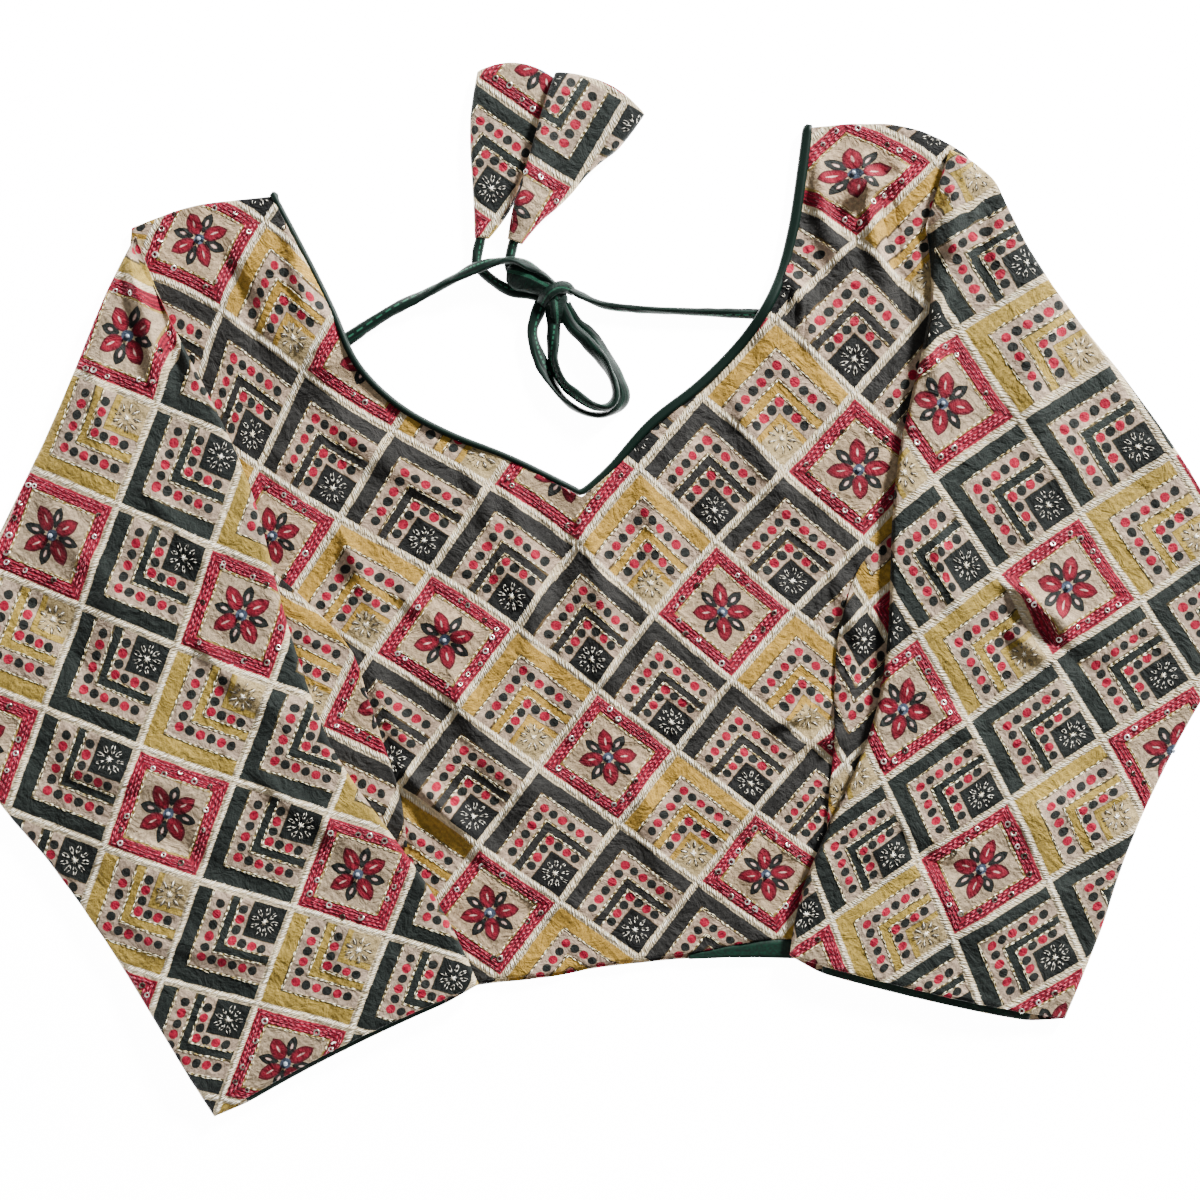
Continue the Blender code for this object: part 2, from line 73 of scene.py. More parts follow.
def linear(code, alpha=1.0):
    # sRGB hex to linear colour
    channels = [int(code[k:k + 2], 16) / 255 for k in (0, 2, 4)]
    return (*[c / 12.92 if c <= 0.04045 else ((c + 0.055) / 1.055) ** 2.4 for c in channels], alpha)


def addNode(tree, kind, inputs=None, output=0, **settings):
    # adds a shader node, sets it and links it, and gives back one of its outputs
    made = tree.nodes.new("ShaderNode" + kind)
    for name, value in settings.items():
        setattr(made, name, value)
    for name, value in (inputs or {}).items():
        if isinstance(value, bpy.types.NodeSocket):
            tree.links.new(value, made.inputs[name])
        else:
            made.inputs[name].default_value = value
    return made.outputs[output]


def newMaterial(name, roughness, sheen=0.0, metallic=0.0, specular=0.5):
    material = bpy.data.materials.new(name)
    material.use_nodes = True
    shader = material.node_tree.nodes["Principled BSDF"]
    shader.inputs["Roughness"].default_value = roughness
    shader.inputs["Metallic"].default_value = metallic
    shader.inputs["Specular IOR Level"].default_value = specular
    shader.inputs["Sheen Weight"].default_value = sheen
    shader.inputs["Sheen Roughness"].default_value = 0.4
    return material, material.node_tree, shader


def placeStudio():
    centre = fromPicture((picture["size"] / 2, picture["size"] / 2)) * mm
    width = picture["size"] * picture["mmPerPixel"] * mm
    camera = bpy.data.objects.new("camera", bpy.data.cameras.new("camera"))
    camera.data.sensor_width = studio["sensor"]
    camera.data.lens = studio["sensor"] * studio["cameraHeight"] / width
    camera.location = (centre[0], centre[1], studio["cameraHeight"])
    bpy.context.scene.collection.objects.link(camera)
    bpy.context.scene.camera = camera

    bm = bmesh.new()
    bmesh.ops.create_grid(bm, x_segments=1, y_segments=1, size=3)
    floorMesh = bpy.data.meshes.new("floor")
    bm.to_mesh(floorMesh)
    bm.free()
    floorMesh.transform(Matrix.Translation((0, 0, -0.0002)))
    material, tree, shader = newMaterial("matt painted board", 0.9)  # an even pale ground
    shader.inputs["Base Color"].default_value = linear(studio["floor"])
    shader.inputs["Emission Color"].default_value = (1, 1, 1, 1)
    shader.inputs["Emission Strength"].default_value = studio["floorGlow"]
    floorMesh.materials.append(material)
    floor = bpy.data.objects.new("floor", floorMesh)
    bpy.context.scene.collection.objects.link(floor)

    world = bpy.data.worlds.new("studio")
    world.use_nodes = True
    world.node_tree.nodes["Background"].inputs["Color"].default_value = (1, 1, 1, 1)
    world.node_tree.nodes["Background"].inputs["Strength"].default_value = studio["worldStrength"]
    bpy.context.scene.world = world
    for name in ("key", "fill"):
        lamp = bpy.data.lights.new(name, "AREA")
        lamp.size = studio[name + "Size"]
        lamp.energy = studio[name + "Power"]
        light = bpy.data.objects.new(name, lamp)
        light.location = studio[name + "Place"]
        light.rotation_euler = (-light.location).to_track_quat("-Z", "Y").to_euler()
        bpy.context.scene.collection.objects.link(light)


placeStudio()
print("studio ready")


# The print's lattice. A chart gives the centres of the red-framed flowers, read from the
# picture, one row for each step of J and one column for each step of I. Two tiles lie between them.
charts = {
    "body": {
        "firstI": -3, "firstJ": -3,
        "rows": [
            [(260, -80), (440, 0), (620, 100), (853, 175), (1000, 300), (1150, 440), (1300, 570)],
            [(135, 65), (310, 90), (465, 245), (690, 328), (858, 470), (1015, 595), (1170, 720)],
            [(25, 215), (200, 240), (371, 364), (566, 474), (722, 612), (880, 742), (1036, 865)],
            [(-23, 345), (130, 440), (273, 536), (445, 640), (608, 757), (766, 873), (925, 985)],
            [(-145, 490), (10, 590), (165, 690), (327, 800), (490, 912), (650, 1024), (810, 1140)],
        ],
    },
    "leftSleeve": {
        "firstI": -2, "firstJ": 0,
        "rows": [
            [(-92, 940), (-20, 740), (55, 536), (131, 338), (200, 138)],
            [(100, 1012), (172, 812), (245, 615), (315, 412), (385, 205)],
            [(288, 1060), (360, 872), (437, 685), (508, 485), (578, 285)],
        ],
    },
    "rightSleeve": {
        "firstI": -1, "firstJ": -2,
        "rows": [
            [(535, 465), (680, 350), (825, 235), (1040, 110)],
            [(625, 640), (790, 525), (940, 405), (1130, 285)],
            [(735, 825), (900, 708), (1064, 587), (1240, 472)],
            [(800, 985), (978, 867), (1170, 750), (1350, 635)],
            [(850, 1140), (1050, 1030), (1250, 920), (1440, 800)],
        ],
    },
}
# Small pieces are cut from another place of the cloth: where one tile starts, and its two sides.
patches = {
    "leftFold": {"start": (364, 631), "sideI": (89, 43), "sideJ": (-44, 96)},
    "rightFold": {"start": (772, 833), "sideI": (-51, -87), "sideJ": (73, -70)},
    "leftTassel": {"start": (533, -2), "sideI": (82, 59), "sideJ": (-59, 82)},
    "rightTassel": {"start": (525, 275), "sideI": (-87, -50), "sideJ": (51, -87)},
}


def chartFromPatch(patch):
    start, sideI, sideJ = (np.array(patch[key], float) for key in ("start", "sideI", "sideJ"))
    rows = [[start + (2 * i + 0.5) * sideI + (2 * j + 0.5) * sideJ for i in (-1, 0, 1)]
            for j in (-1, 0, 1)]
    return {"firstI": -1, "firstJ": -1, "rows": rows}


class Lattice:
    # The smooth map from print coordinates (in tiles) to the blouse's plan in millimetres, and back.
    def __init__(self, chart, spare=3):
        grid = fromPicture(chart["rows"]).transpose(1, 0, 2)
        for axis in (0, 1):
            for _ in range(spare):
                grid = np.moveaxis(grid, axis, 0)
                grid = np.concatenate([[2 * grid[0] - grid[1]], grid, [2 * grid[-1] - grid[-2]]])
                grid = np.moveaxis(grid, 0, axis)
        self.grid = grid
        self.first = np.array([chart["firstI"] - spare, chart["firstJ"] - spare], float)

    def place(self, tiles):
        steps = (np.asarray(tiles, float) - 0.5) / 2 - self.first
        last = np.array(self.grid.shape[:2]) - 3
        whole = np.clip(np.floor(steps).astype(int), 1, last)
        t = steps - whole
        weights = np.stack([-t + 2 * t ** 2 - t ** 3, 2 - 5 * t ** 2 + 3 * t ** 3,
                            t + 4 * t ** 2 - 3 * t ** 3, -t ** 2 + t ** 3]) / 2
        found = 0
        for a in range(4):
            for b in range(4):
                corner = self.grid[whole[..., 0] + a - 1, whole[..., 1] + b - 1]
                found = found + corner * (weights[a][..., 0] * weights[b][..., 1])[..., None]
        return found

    def tiles(self, points):
        # Newton's steps back from plan to print coordinates, from the nearest flower
        points = np.asarray(points, float)
        centres = self.grid.reshape(-1, 2)
        away = ((points[:, None, :] - centres[None]) ** 2).sum(-1).argmin(1)
        steps = np.stack(np.unravel_index(away, self.grid.shape[:2]), -1) + self.first
        found = steps * 2 + 0.5
        reach = 0.01
        for _ in range(9):
            here = self.place(found)
            alongI = (self.place(found + [reach, 0]) - here) / reach
            alongJ = (self.place(found + [0, reach]) - here) / reach
            miss = points - here
            area = alongI[:, 0] * alongJ[:, 1] - alongI[:, 1] * alongJ[:, 0]
            stepI = (miss[:, 0] * alongJ[:, 1] - miss[:, 1] * alongJ[:, 0]) / area
            stepJ = (alongI[:, 0] * miss[:, 1] - alongI[:, 1] * miss[:, 0]) / area
            found += np.clip(np.stack([stepI, stepJ], -1), -1.0, 1.0)
        return found


lattices = {name: Lattice(chart) for name, chart in charts.items()}
lattices.update({name: Lattice(chartFromPatch(patch)) for name, patch in patches.items()})

# What stands where in a tile, as shares of its side from the corner where its two arms meet.
tile = {
    "side": 45.5,               # mm
    "strip": 0.035,             # half of the cream strip round every tile
    "stripEdge": (0.030, 0.036),    # where its cream starts and stops blending into the ink
    "firstDots": 0.305, "firstSpacing": 0.109,
    "secondDots": 0.543, "secondSpacing": 0.104,
    "dotRadius": 0.047, "inkEdge": 0.004, "lastDots": 0.905, "betweenDots": 0.43,
    "squareMiddle": 0.785,
    "chains": (0.196, 0.392, 0.486),
    "frameRows": (0.068, 0.102, 0.138), "frameEdge": 0.172,
}


# Materials

def setRamp(socket, stops, step=False):
    ramp = socket.node.color_ramp
    ramp.interpolation = "CONSTANT" if step else "LINEAR"
    while len(ramp.elements) < len(stops):
        ramp.elements.new(1.0)
    for element, (place, code) in zip(ramp.elements, stops):
        element.position = place
        element.color = linear(code)


def findSpot(tree):
    # where a point of the print lies: its shares of a tile's side, and the kind of tile
    pattern = addNode(tree, "UVMap", uv_map="print")
    wobble = addNode(tree, "TexNoise", {"Vector": pattern, "Scale": 9.0, "Detail": 2.0}, output="Color")
    shifted = addNode(tree, "VectorMath", {0: wobble, 1: (0.5, 0.5, 0.5)}, operation="SUBTRACT")
    moved = addNode(tree, "VectorMath", {0: shifted, 1: (0.02, 0.02, 0.0), 2: pattern},
                    operation="MULTIPLY_ADD")
    spot = {}
    for axis, way, share, odd in (("X", "across", "p", "oddI"), ("Y", "down", "q", "oddJ")):
        spot[way] = addNode(tree, "SeparateXYZ", {0: moved}, output=axis)
        spot[share] = addNode(tree, "Math", {0: spot[way], 1: 1.0}, operation="FLOORED_MODULO")
        pair = addNode(tree, "Math", {0: spot[way], 1: 2.0}, operation="FLOORED_MODULO")
        spot[odd] = addNode(tree, "Math", {0: pair, 1: 1.0}, operation="GREATER_THAN")
    spot["onChevron"] = addNode(tree, "Math", {0: spot["oddI"], 1: spot["oddJ"]}, operation="MAXIMUM")
    spot["near"] = addNode(tree, "Math", {0: spot["p"], 1: spot["q"]}, operation="MINIMUM")
    spot["far"] = addNode(tree, "Math", {0: spot["p"], 1: spot["q"]}, operation="MAXIMUM")
    spot["beyond"] = addNode(tree, "Math", {0: 1.0, 1: spot["far"]}, operation="SUBTRACT")
    spot["border"] = addNode(tree, "Math", {0: spot["near"], 1: spot["beyond"]}, operation="MINIMUM")
    return spot


def printChevrons(tree, spot, colours):
    # the two kinds of chevron, as bands of the distance from the arms' outer corner
    near, far = spot["near"], spot["far"]
    cream, inner, shadow = colours["cream"], colours["inner"], colours["shadow"]
    stripIn, stripOut = tile["stripEdge"]
    bands = {}
    for kind, square in (("slate", colours["square"]), ("olive", colours["oliveSquare"])):
        colour = colours[kind]
        lip = colour if kind == "olive" else square
        bands[kind] = addNode(tree, "ValToRGB", {0: near})
        setRamp(bands[kind], [
            (0.0, cream), (stripIn, cream), (stripOut, colour), (0.180, colour), (0.186, shadow),
            (0.202, shadow), (0.208, inner), (0.378, inner), (0.384, shadow), (0.400, shadow),
            (0.406, colour), (0.476, colour), (0.482, shadow), (0.492, shadow), (0.498, inner),
            (0.610, inner), (0.616, shadow), (0.622, lip), (0.670, lip), (0.680, square),
        ])
    chevron = addNode(tree, "Mix", {"Factor": spot["oddJ"], 6: bands["olive"], 7: bands["slate"]},
                      output=2, data_type="RGBA")

    # two rows of dots follow the arms, red and slate in turn
    second = addNode(tree, "Math", {0: near, 1: tile["betweenDots"]}, operation="GREATER_THAN")
    rowStep = tile["secondDots"] - tile["firstDots"]
    row = addNode(tree, "Math", {0: second, 1: rowStep, 2: tile["firstDots"]}, operation="MULTIPLY_ADD")
    halfStep = (tile["secondSpacing"] - tile["firstSpacing"]) / 2
    half = addNode(tree, "Math", {0: second, 1: halfStep, 2: tile["firstSpacing"] / 2},
                   operation="MULTIPLY_ADD")
    along = addNode(tree, "Math", {0: far, 1: row}, operation="SUBTRACT")
    toDot = addNode(tree, "Math", {0: along, 1: half}, operation="PINGPONG")
    full = addNode(tree, "Math", {0: half, 1: 2.0}, operation="MULTIPLY")
    turn = addNode(tree, "Math", {0: along, 1: full}, operation="PINGPONG")
    slateTurn = addNode(tree, "Math", {0: turn, 1: half}, operation="GREATER_THAN")
    offRow = addNode(tree, "Math", {0: near, 1: row}, operation="SUBTRACT")
    offDot = addNode(tree, "CombineXYZ", {"X": toDot, "Y": offRow})
    fromDot = addNode(tree, "VectorMath", {0: offDot}, output="Value", operation="LENGTH")
    radius, edge = tile["dotRadius"], tile["inkEdge"]
    onDot = addNode(tree, "MapRange", {"Value": fromDot, "From Min": radius + edge,
                                       "From Max": radius - edge}, interpolation_type="SMOOTHSTEP")
    inTile = addNode(tree, "Math", {0: far, 1: tile["lastDots"]}, operation="LESS_THAN")
    dotMask = addNode(tree, "Math", {0: onDot, 1: inTile}, operation="MULTIPLY")
    red, slate = linear(colours["red"]), linear(colours["dot"])
    dotColour = addNode(tree, "Mix", {"Factor": slateTurn, 6: red, 7: slate}, output=2, data_type="RGBA")
    return addNode(tree, "Mix", {"Factor": dotMask, 6: chevron, 7: dotColour}, output=2,
                   data_type="RGBA")


def printFlower(tree, spot, colours):
    # the framed flower: its frame as bands of the distance from the tile's border
    cream, thread, ground = colours["cream"], colours["thread"], colours["ground"]
    red, redDark = colours["red"], colours["redDark"]
    stripIn, stripOut = tile["stripEdge"]
    flower = addNode(tree, "ValToRGB", {0: spot["border"]})
    setRamp(flower, [
        (0.0, cream), (stripIn, cream), (stripOut, red), (0.060, redDark), (0.076, red),
        (0.092, redDark), (0.110, red), (0.128, redDark), (0.144, red), (0.156, redDark),
        (0.162, thread), (0.176, thread), (0.184, ground), (0.5, ground),
    ])
    offP = addNode(tree, "Math", {0: spot["p"], 1: 0.5}, operation="SUBTRACT")
    offQ = addNode(tree, "Math", {0: spot["q"], 1: 0.5}, operation="SUBTRACT")
    fromMiddle = addNode(tree, "CombineXYZ", {"X": offP, "Y": offQ})

    # four slate petals to the sides and four red ones to the corners, each with a rim and a pale streak
    petals = (
        {"middle": 0.178, "reach": 0.112, "breadth": 0.057, "streak": 0.32, "turn": 0.0,
         "rim": colours["square"], "fill": colours["dot"]},
        {"middle": 0.168, "reach": 0.138, "breadth": 0.08, "streak": 0.17, "turn": math.pi / 4,
         "rim": redDark, "fill": colours["petal"]},
    )
    for petal in petals:
        spun = addNode(tree, "VectorRotate", {"Vector": fromMiddle, "Angle": petal["turn"]},
                       rotation_type="Z_AXIS")
        folded = addNode(tree, "VectorMath", {0: spun}, operation="ABSOLUTE")
        one = addNode(tree, "SeparateXYZ", {0: folded}, output="X")
        other = addNode(tree, "SeparateXYZ", {0: folded}, output="Y")
        out = addNode(tree, "Math", {0: one, 1: other}, operation="MAXIMUM")
        aside = addNode(tree, "Math", {0: one, 1: other}, operation="MINIMUM")
        layers = (  # length and breadth as shares of the petal, colour, and softness of the edge
            (1.0, 1.0, petal["rim"], 0.006), (0.86, 0.86, petal["fill"], 0.02),
            (0.36, petal["streak"], colours["streak"], 0.016),
        )
        for size, wide, colour, soft in layers:
            reach, width = petal["reach"] * size, petal["breadth"] * wide
            share = addNode(tree, "Math", {0: out, 1: 1 / reach, 2: -petal["middle"] / reach},
                            operation="MULTIPLY_ADD")
            share = addNode(tree, "Math", {0: share}, operation="ABSOLUTE")
            bulge = addNode(tree, "Math", {0: share, 1: 2.5}, operation="POWER")
            edge = addNode(tree, "Math", {0: bulge, 1: -width, 2: width}, operation="MULTIPLY_ADD")
            inside = addNode(tree, "Math", {0: edge, 1: aside}, operation="SUBTRACT")
            mask = addNode(tree, "MapRange", {"Value": inside, "From Min": 0.0, "From Max": soft})
            flower = addNode(tree, "Mix", {"Factor": mask, 6: flower, 7: linear(colour)}, output=2,
                             data_type="RGBA")
    away = addNode(tree, "VectorMath", {0: fromMiddle}, output="Value", operation="LENGTH")
    heart = addNode(tree, "MapRange", {"Value": away, "From Min": 0.058, "From Max": 0.05})
    return addNode(tree, "Mix", {"Factor": heart, 6: flower, 7: linear(colours["heart"])}, output=2,
                   data_type="RGBA")


def addCottonRelief(tree, shader, place, spot, mottle, twill):
    # slanted satin stitch on the cream strips, twill elsewhere, and a soft crumple under both
    slant = addNode(tree, "Math", {0: spot["across"], 1: spot["down"]}, operation="SUBTRACT")
    slantTurn = addNode(tree, "Math", {0: slant, 1: 2 * math.pi * 26}, operation="MULTIPLY")
    slantWave = addNode(tree, "Math", {0: slantTurn}, operation="SINE")
    onStrip = addNode(tree, "Math", {0: spot["border"], 1: tile["strip"]}, operation="LESS_THAN")
    stitch = addNode(tree, "Math", {0: slantWave, 1: onStrip}, operation="MULTIPLY")
    rib = addNode(tree, "Math", {0: twill, 1: 0.3}, operation="MULTIPLY")
    height = addNode(tree, "Math", {0: stitch, 1: 0.5, 2: rib}, operation="MULTIPLY_ADD")
    height = addNode(tree, "Math", {0: mottle, 1: 1.5, 2: height}, operation="MULTIPLY_ADD")
    crumple = addNode(tree, "TexNoise", {"Vector": place, "Scale": 105.0, "Detail": 3.0,
                                         "Roughness": 0.6, "Distortion": 0.8}, output="Fac")
    soft = addNode(tree, "Bump", {"Height": crumple, "Strength": 1.0, "Distance": 0.0022},
                   output="Normal")
    bump = addNode(tree, "Bump", {"Height": height, "Strength": 0.7, "Distance": 0.0003,
                                  "Normal": soft}, output="Normal")
    tree.links.new(bump, shader.inputs["Normal"])


def makePrintedCotton(name, colours):
    # Cotton, woven as a fine twill, pigment printed: matt, with soft-edged ink and a faint mottle.
    material, tree, shader = newMaterial(name, 0.82, sheen=0.06, specular=0.2)
    place = addNode(tree, "TexCoord", output="Object")
    spot = findSpot(tree)
    chevron, flower = printChevrons(tree, spot, colours), printFlower(tree, spot, colours)
    printed = addNode(tree, "Mix", {"Factor": spot["onChevron"], 6: flower, 7: chevron}, output=2,
                      data_type="RGBA")

    # the chevron's bands have no strip on its far sides
    stripIn, stripOut = tile["stripEdge"]
    farStrip = addNode(tree, "MapRange", {"Value": spot["beyond"], "From Min": stripOut,
                                          "From Max": stripIn})
    farStrip = addNode(tree, "Math", {0: farStrip, 1: spot["onChevron"]}, operation="MULTIPLY")
    printed = addNode(tree, "Mix", {"Factor": farStrip, 6: printed, 7: linear(colours["cream"])},
                      output=2, data_type="RGBA")

    # mottle and wear of the ink, then the twill, drawn about three times coarser than its real 0.4 mm
    mottle = addNode(tree, "TexNoise", {"Vector": place, "Scale": 620.0, "Detail": 4.0,
                                        "Roughness": 0.75}, output="Fac")
    mottle = addNode(tree, "MapRange", {"Value": mottle, "From Min": 0.3, "From Max": 0.7,
                                        "To Min": 0.55, "To Max": 1.25})
    wear = addNode(tree, "TexNoise", {"Vector": place, "Scale": 38.0, "Detail": 3.0}, output="Fac")
    wear = addNode(tree, "MapRange", {"Value": wear, "From Min": 0.3, "From Max": 0.7,
                                      "To Min": 0.8, "To Max": 1.1})
    twill = addNode(tree, "TexWave", {"Vector": place, "Scale": 140.0, "Distortion": 1.2,
                                      "Detail": 1.0, "Detail Scale": 3.0},
                    output="Fac", wave_type="BANDS", bands_direction="DIAGONAL")
    twillShade = addNode(tree, "MapRange", {"Value": twill, "To Min": 0.86, "To Max": 1.08})
    shade = addNode(tree, "Math", {0: mottle, 1: wear}, operation="MULTIPLY")
    shade = addNode(tree, "Math", {0: shade, 1: twillShade}, operation="MULTIPLY")
    shaded = addNode(tree, "VectorMath", {0: printed, "Scale": shade}, operation="SCALE")
    tree.links.new(shaded, shader.inputs["Base Color"])
    addCottonRelief(tree, shader, place, spot, mottle, twill)
    return material


def makeLining():
    # Polyester crepe lining, woven and piece dyed: dark green with a low soft gloss.
    material, tree, shader = newMaterial("woven green lining", 0.5, specular=0.25)
    place = addNode(tree, "TexCoord", output="Object")
    weave = addNode(tree, "TexNoise", {"Vector": place, "Scale": 900.0, "Detail": 2.0},
                    output="Fac")
    colour = addNode(tree, "ValToRGB", {0: weave})
    setRamp(colour, [(0.3, "010D08"), (0.7, "04291C")])
    tree.links.new(colour, shader.inputs["Base Color"])
    bump = addNode(tree, "Bump", {"Height": weave, "Strength": 0.3, "Distance": 0.0002},
                   output="Normal")
    tree.links.new(bump, shader.inputs["Normal"])
    return material


def makeSatin():
    # Polyester satin cut on the bias and sewn to a cord: dark green with a soft gloss; its lengthwise
    # sheen is painted into the colour as paler streaks.
    material, tree, shader = newMaterial("bias-cut green satin", 0.55, specular=0.13)
    wrap = addNode(tree, "UVMap", uv_map="wrap")
    stretched = addNode(tree, "Mapping", {"Vector": wrap, "Scale": (14.0, 60.0, 1.0)})
    creasesAndSheen = addNode(tree, "TexNoise", {"Vector": stretched, "Scale": 1.0, "Detail": 3.0},
                      output="Fac")
    # the paler streaks in the colour are painted sheen; the same streaks raise lengthwise creases in the
    # bump
    colour = addNode(tree, "ValToRGB", {0: creasesAndSheen})
    setRamp(colour, [(0.3, "000503"), (0.55, "01150E"), (0.8, "03291C")])
    around = addNode(tree, "SeparateXYZ", {0: wrap}, output="X")
    length = addNode(tree, "SeparateXYZ", {0: wrap}, output="Y")
    onSeam = addNode(tree, "Math", {0: around, 1: 0.27, 2: 0.022}, operation="COMPARE")
    dash = addNode(tree, "Math", {0: length, 1: 0.0024}, operation="FLOORED_MODULO")
    dash = addNode(tree, "Math", {0: dash, 1: 0.0015}, operation="LESS_THAN")
    seam = addNode(tree, "Math", {0: onSeam, 1: dash}, operation="MULTIPLY")
    seamShade = addNode(tree, "Mix", {"Factor": seam, 6: colour, 7: linear("1F4A38")},
                        output=2, data_type="RGBA")
    tree.links.new(seamShade, shader.inputs["Base Color"])
    grooved = addNode(tree, "Math", {0: onSeam, 1: -1.2, 2: creasesAndSheen},
                      operation="MULTIPLY_ADD")
    bump = addNode(tree, "Bump", {"Height": grooved, "Strength": 0.6, "Distance": 0.0006},
                   output="Normal")
    tree.links.new(bump, shader.inputs["Normal"])
    return material


def makeThread(name, dark, light, roughness=0.45):
    # Rayon embroidery thread, twisted: its colour wavers at random from a darker tone to a lighter one
    # that is painted highlight.
    material, tree, shader = newMaterial(name, roughness, sheen=0.15, specular=0.5)
    place = addNode(tree, "TexCoord", output="Object")
    change = addNode(tree, "TexNoise", {"Vector": place, "Scale": 700.0, "Detail": 1.0},
                     output="Fac")
    # from the thread's darker tone to its painted highlight
    colour = addNode(tree, "ValToRGB", {0: change})
    setRamp(colour, [(0.35, dark), (0.65, light)])
    tree.links.new(colour, shader.inputs["Base Color"])
    return material


def makeSequinFoil():
    # Metallised polyester film, stamped into rings: bright silver, with painted dark reflections that
    # make a few of them dark.
    material, tree, shader = newMaterial("stamped silver film", 0.28, metallic=0.85)
    place = addNode(tree, "TexCoord", output="Object")
    change = addNode(tree, "TexNoise", {"Vector": place, "Scale": 95.0}, output="Fac")
    colour = addNode(tree, "ValToRGB", {0: change})
    # the dark stop is painted dark reflection, not dull film
    setRamp(colour, [(0.40, "4E4A40"), (0.48, "B9B4A6"), (0.60, "F7F5EE")])
    tree.links.new(colour, shader.inputs["Base Color"])
    return material


def makeGlassBead():
    # Cut glass bead with a foiled core: pale blue grey and glossy.
    material, tree, shader = newMaterial("foiled glass bead", 0.12, metallic=0.2, specular=0.7)
    # paler where it faces the view and darker towards its rim: painted shading by the angle of view
    facing = addNode(tree, "LayerWeight", {"Blend": 0.35}, output="Facing")
    colour = addNode(tree, "ValToRGB", {0: facing})
    setRamp(colour, [(0.1, "9AA6B4"), (0.8, "4A5666")])
    tree.links.new(colour, shader.inputs["Base Color"])
    return material


bodyColours = {
    "cream": "C6B492", "inner": "A28B76", "ground": "A28B6E", "thread": "8A7038", "shadow": "4A3A20",
    "slate": "21201E", "olive": "9C7A30", "square": "0F100F", "red": "920D2B", "redDark": "4A0816",
    "petal": "6E081E", "dot": "171A17", "streak": "E8BEB2", "heart": "3C4656", "oliveSquare": "9C8860",
}
sleeveColours = dict(bodyColours, slate="181E1B", square="0C110F", olive="907834", shadow="443A22",
                     inner="9F8A76", ground="9E8A70")
printedBody = makePrintedCotton("twill cotton printed warm", bodyColours)
printedSleeve = makePrintedCotton("twill cotton printed cool", sleeveColours)
lining = makeLining()
satin = makeSatin()
threads = {
    "cream": makeThread("cream rayon thread", "D2C4A2", "FFFCF0"),
    "gold": makeThread("dull gold rayon thread", "A08848", "FFF8D8", 0.3),
    "red": makeThread("crimson rayon thread", "6E0E24", "C23050"),
    "taupe": makeThread("taupe rayon thread", "120D08", "40362A"),
    "silver": makeThread("silver grey rayon thread", "4E4A42", "E4DECE"),
}
sequinFoil = makeSequinFoil()
glassBead = makeGlassBead()
print("materials ready")


def finishPiece(name, mesh, nodes=()):
    piece = bpy.data.objects.new(name, mesh)
    bpy.context.scene.collection.objects.link(piece)
    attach(piece, "root")
    if nodes:
        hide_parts(*nodes)
    return piece


def smoothAlong(rows, place):
    # the row at a place from 0 to 1 on the smooth curve through all the rows
    rows = np.asarray(rows, float)
    last = len(rows) - 1
    start = min(int(place * last), last - 1)
    t = place * last - start
    a, b, c, d = (rows[max(0, min(last, start + step))] for step in (-1, 0, 1, 2))
    return 0.5 * (2 * b + (c - a) * t + (2 * a - 5 * b + 4 * c - d) * t * t
                  + (3 * b - a - 3 * c + d) * t ** 3)


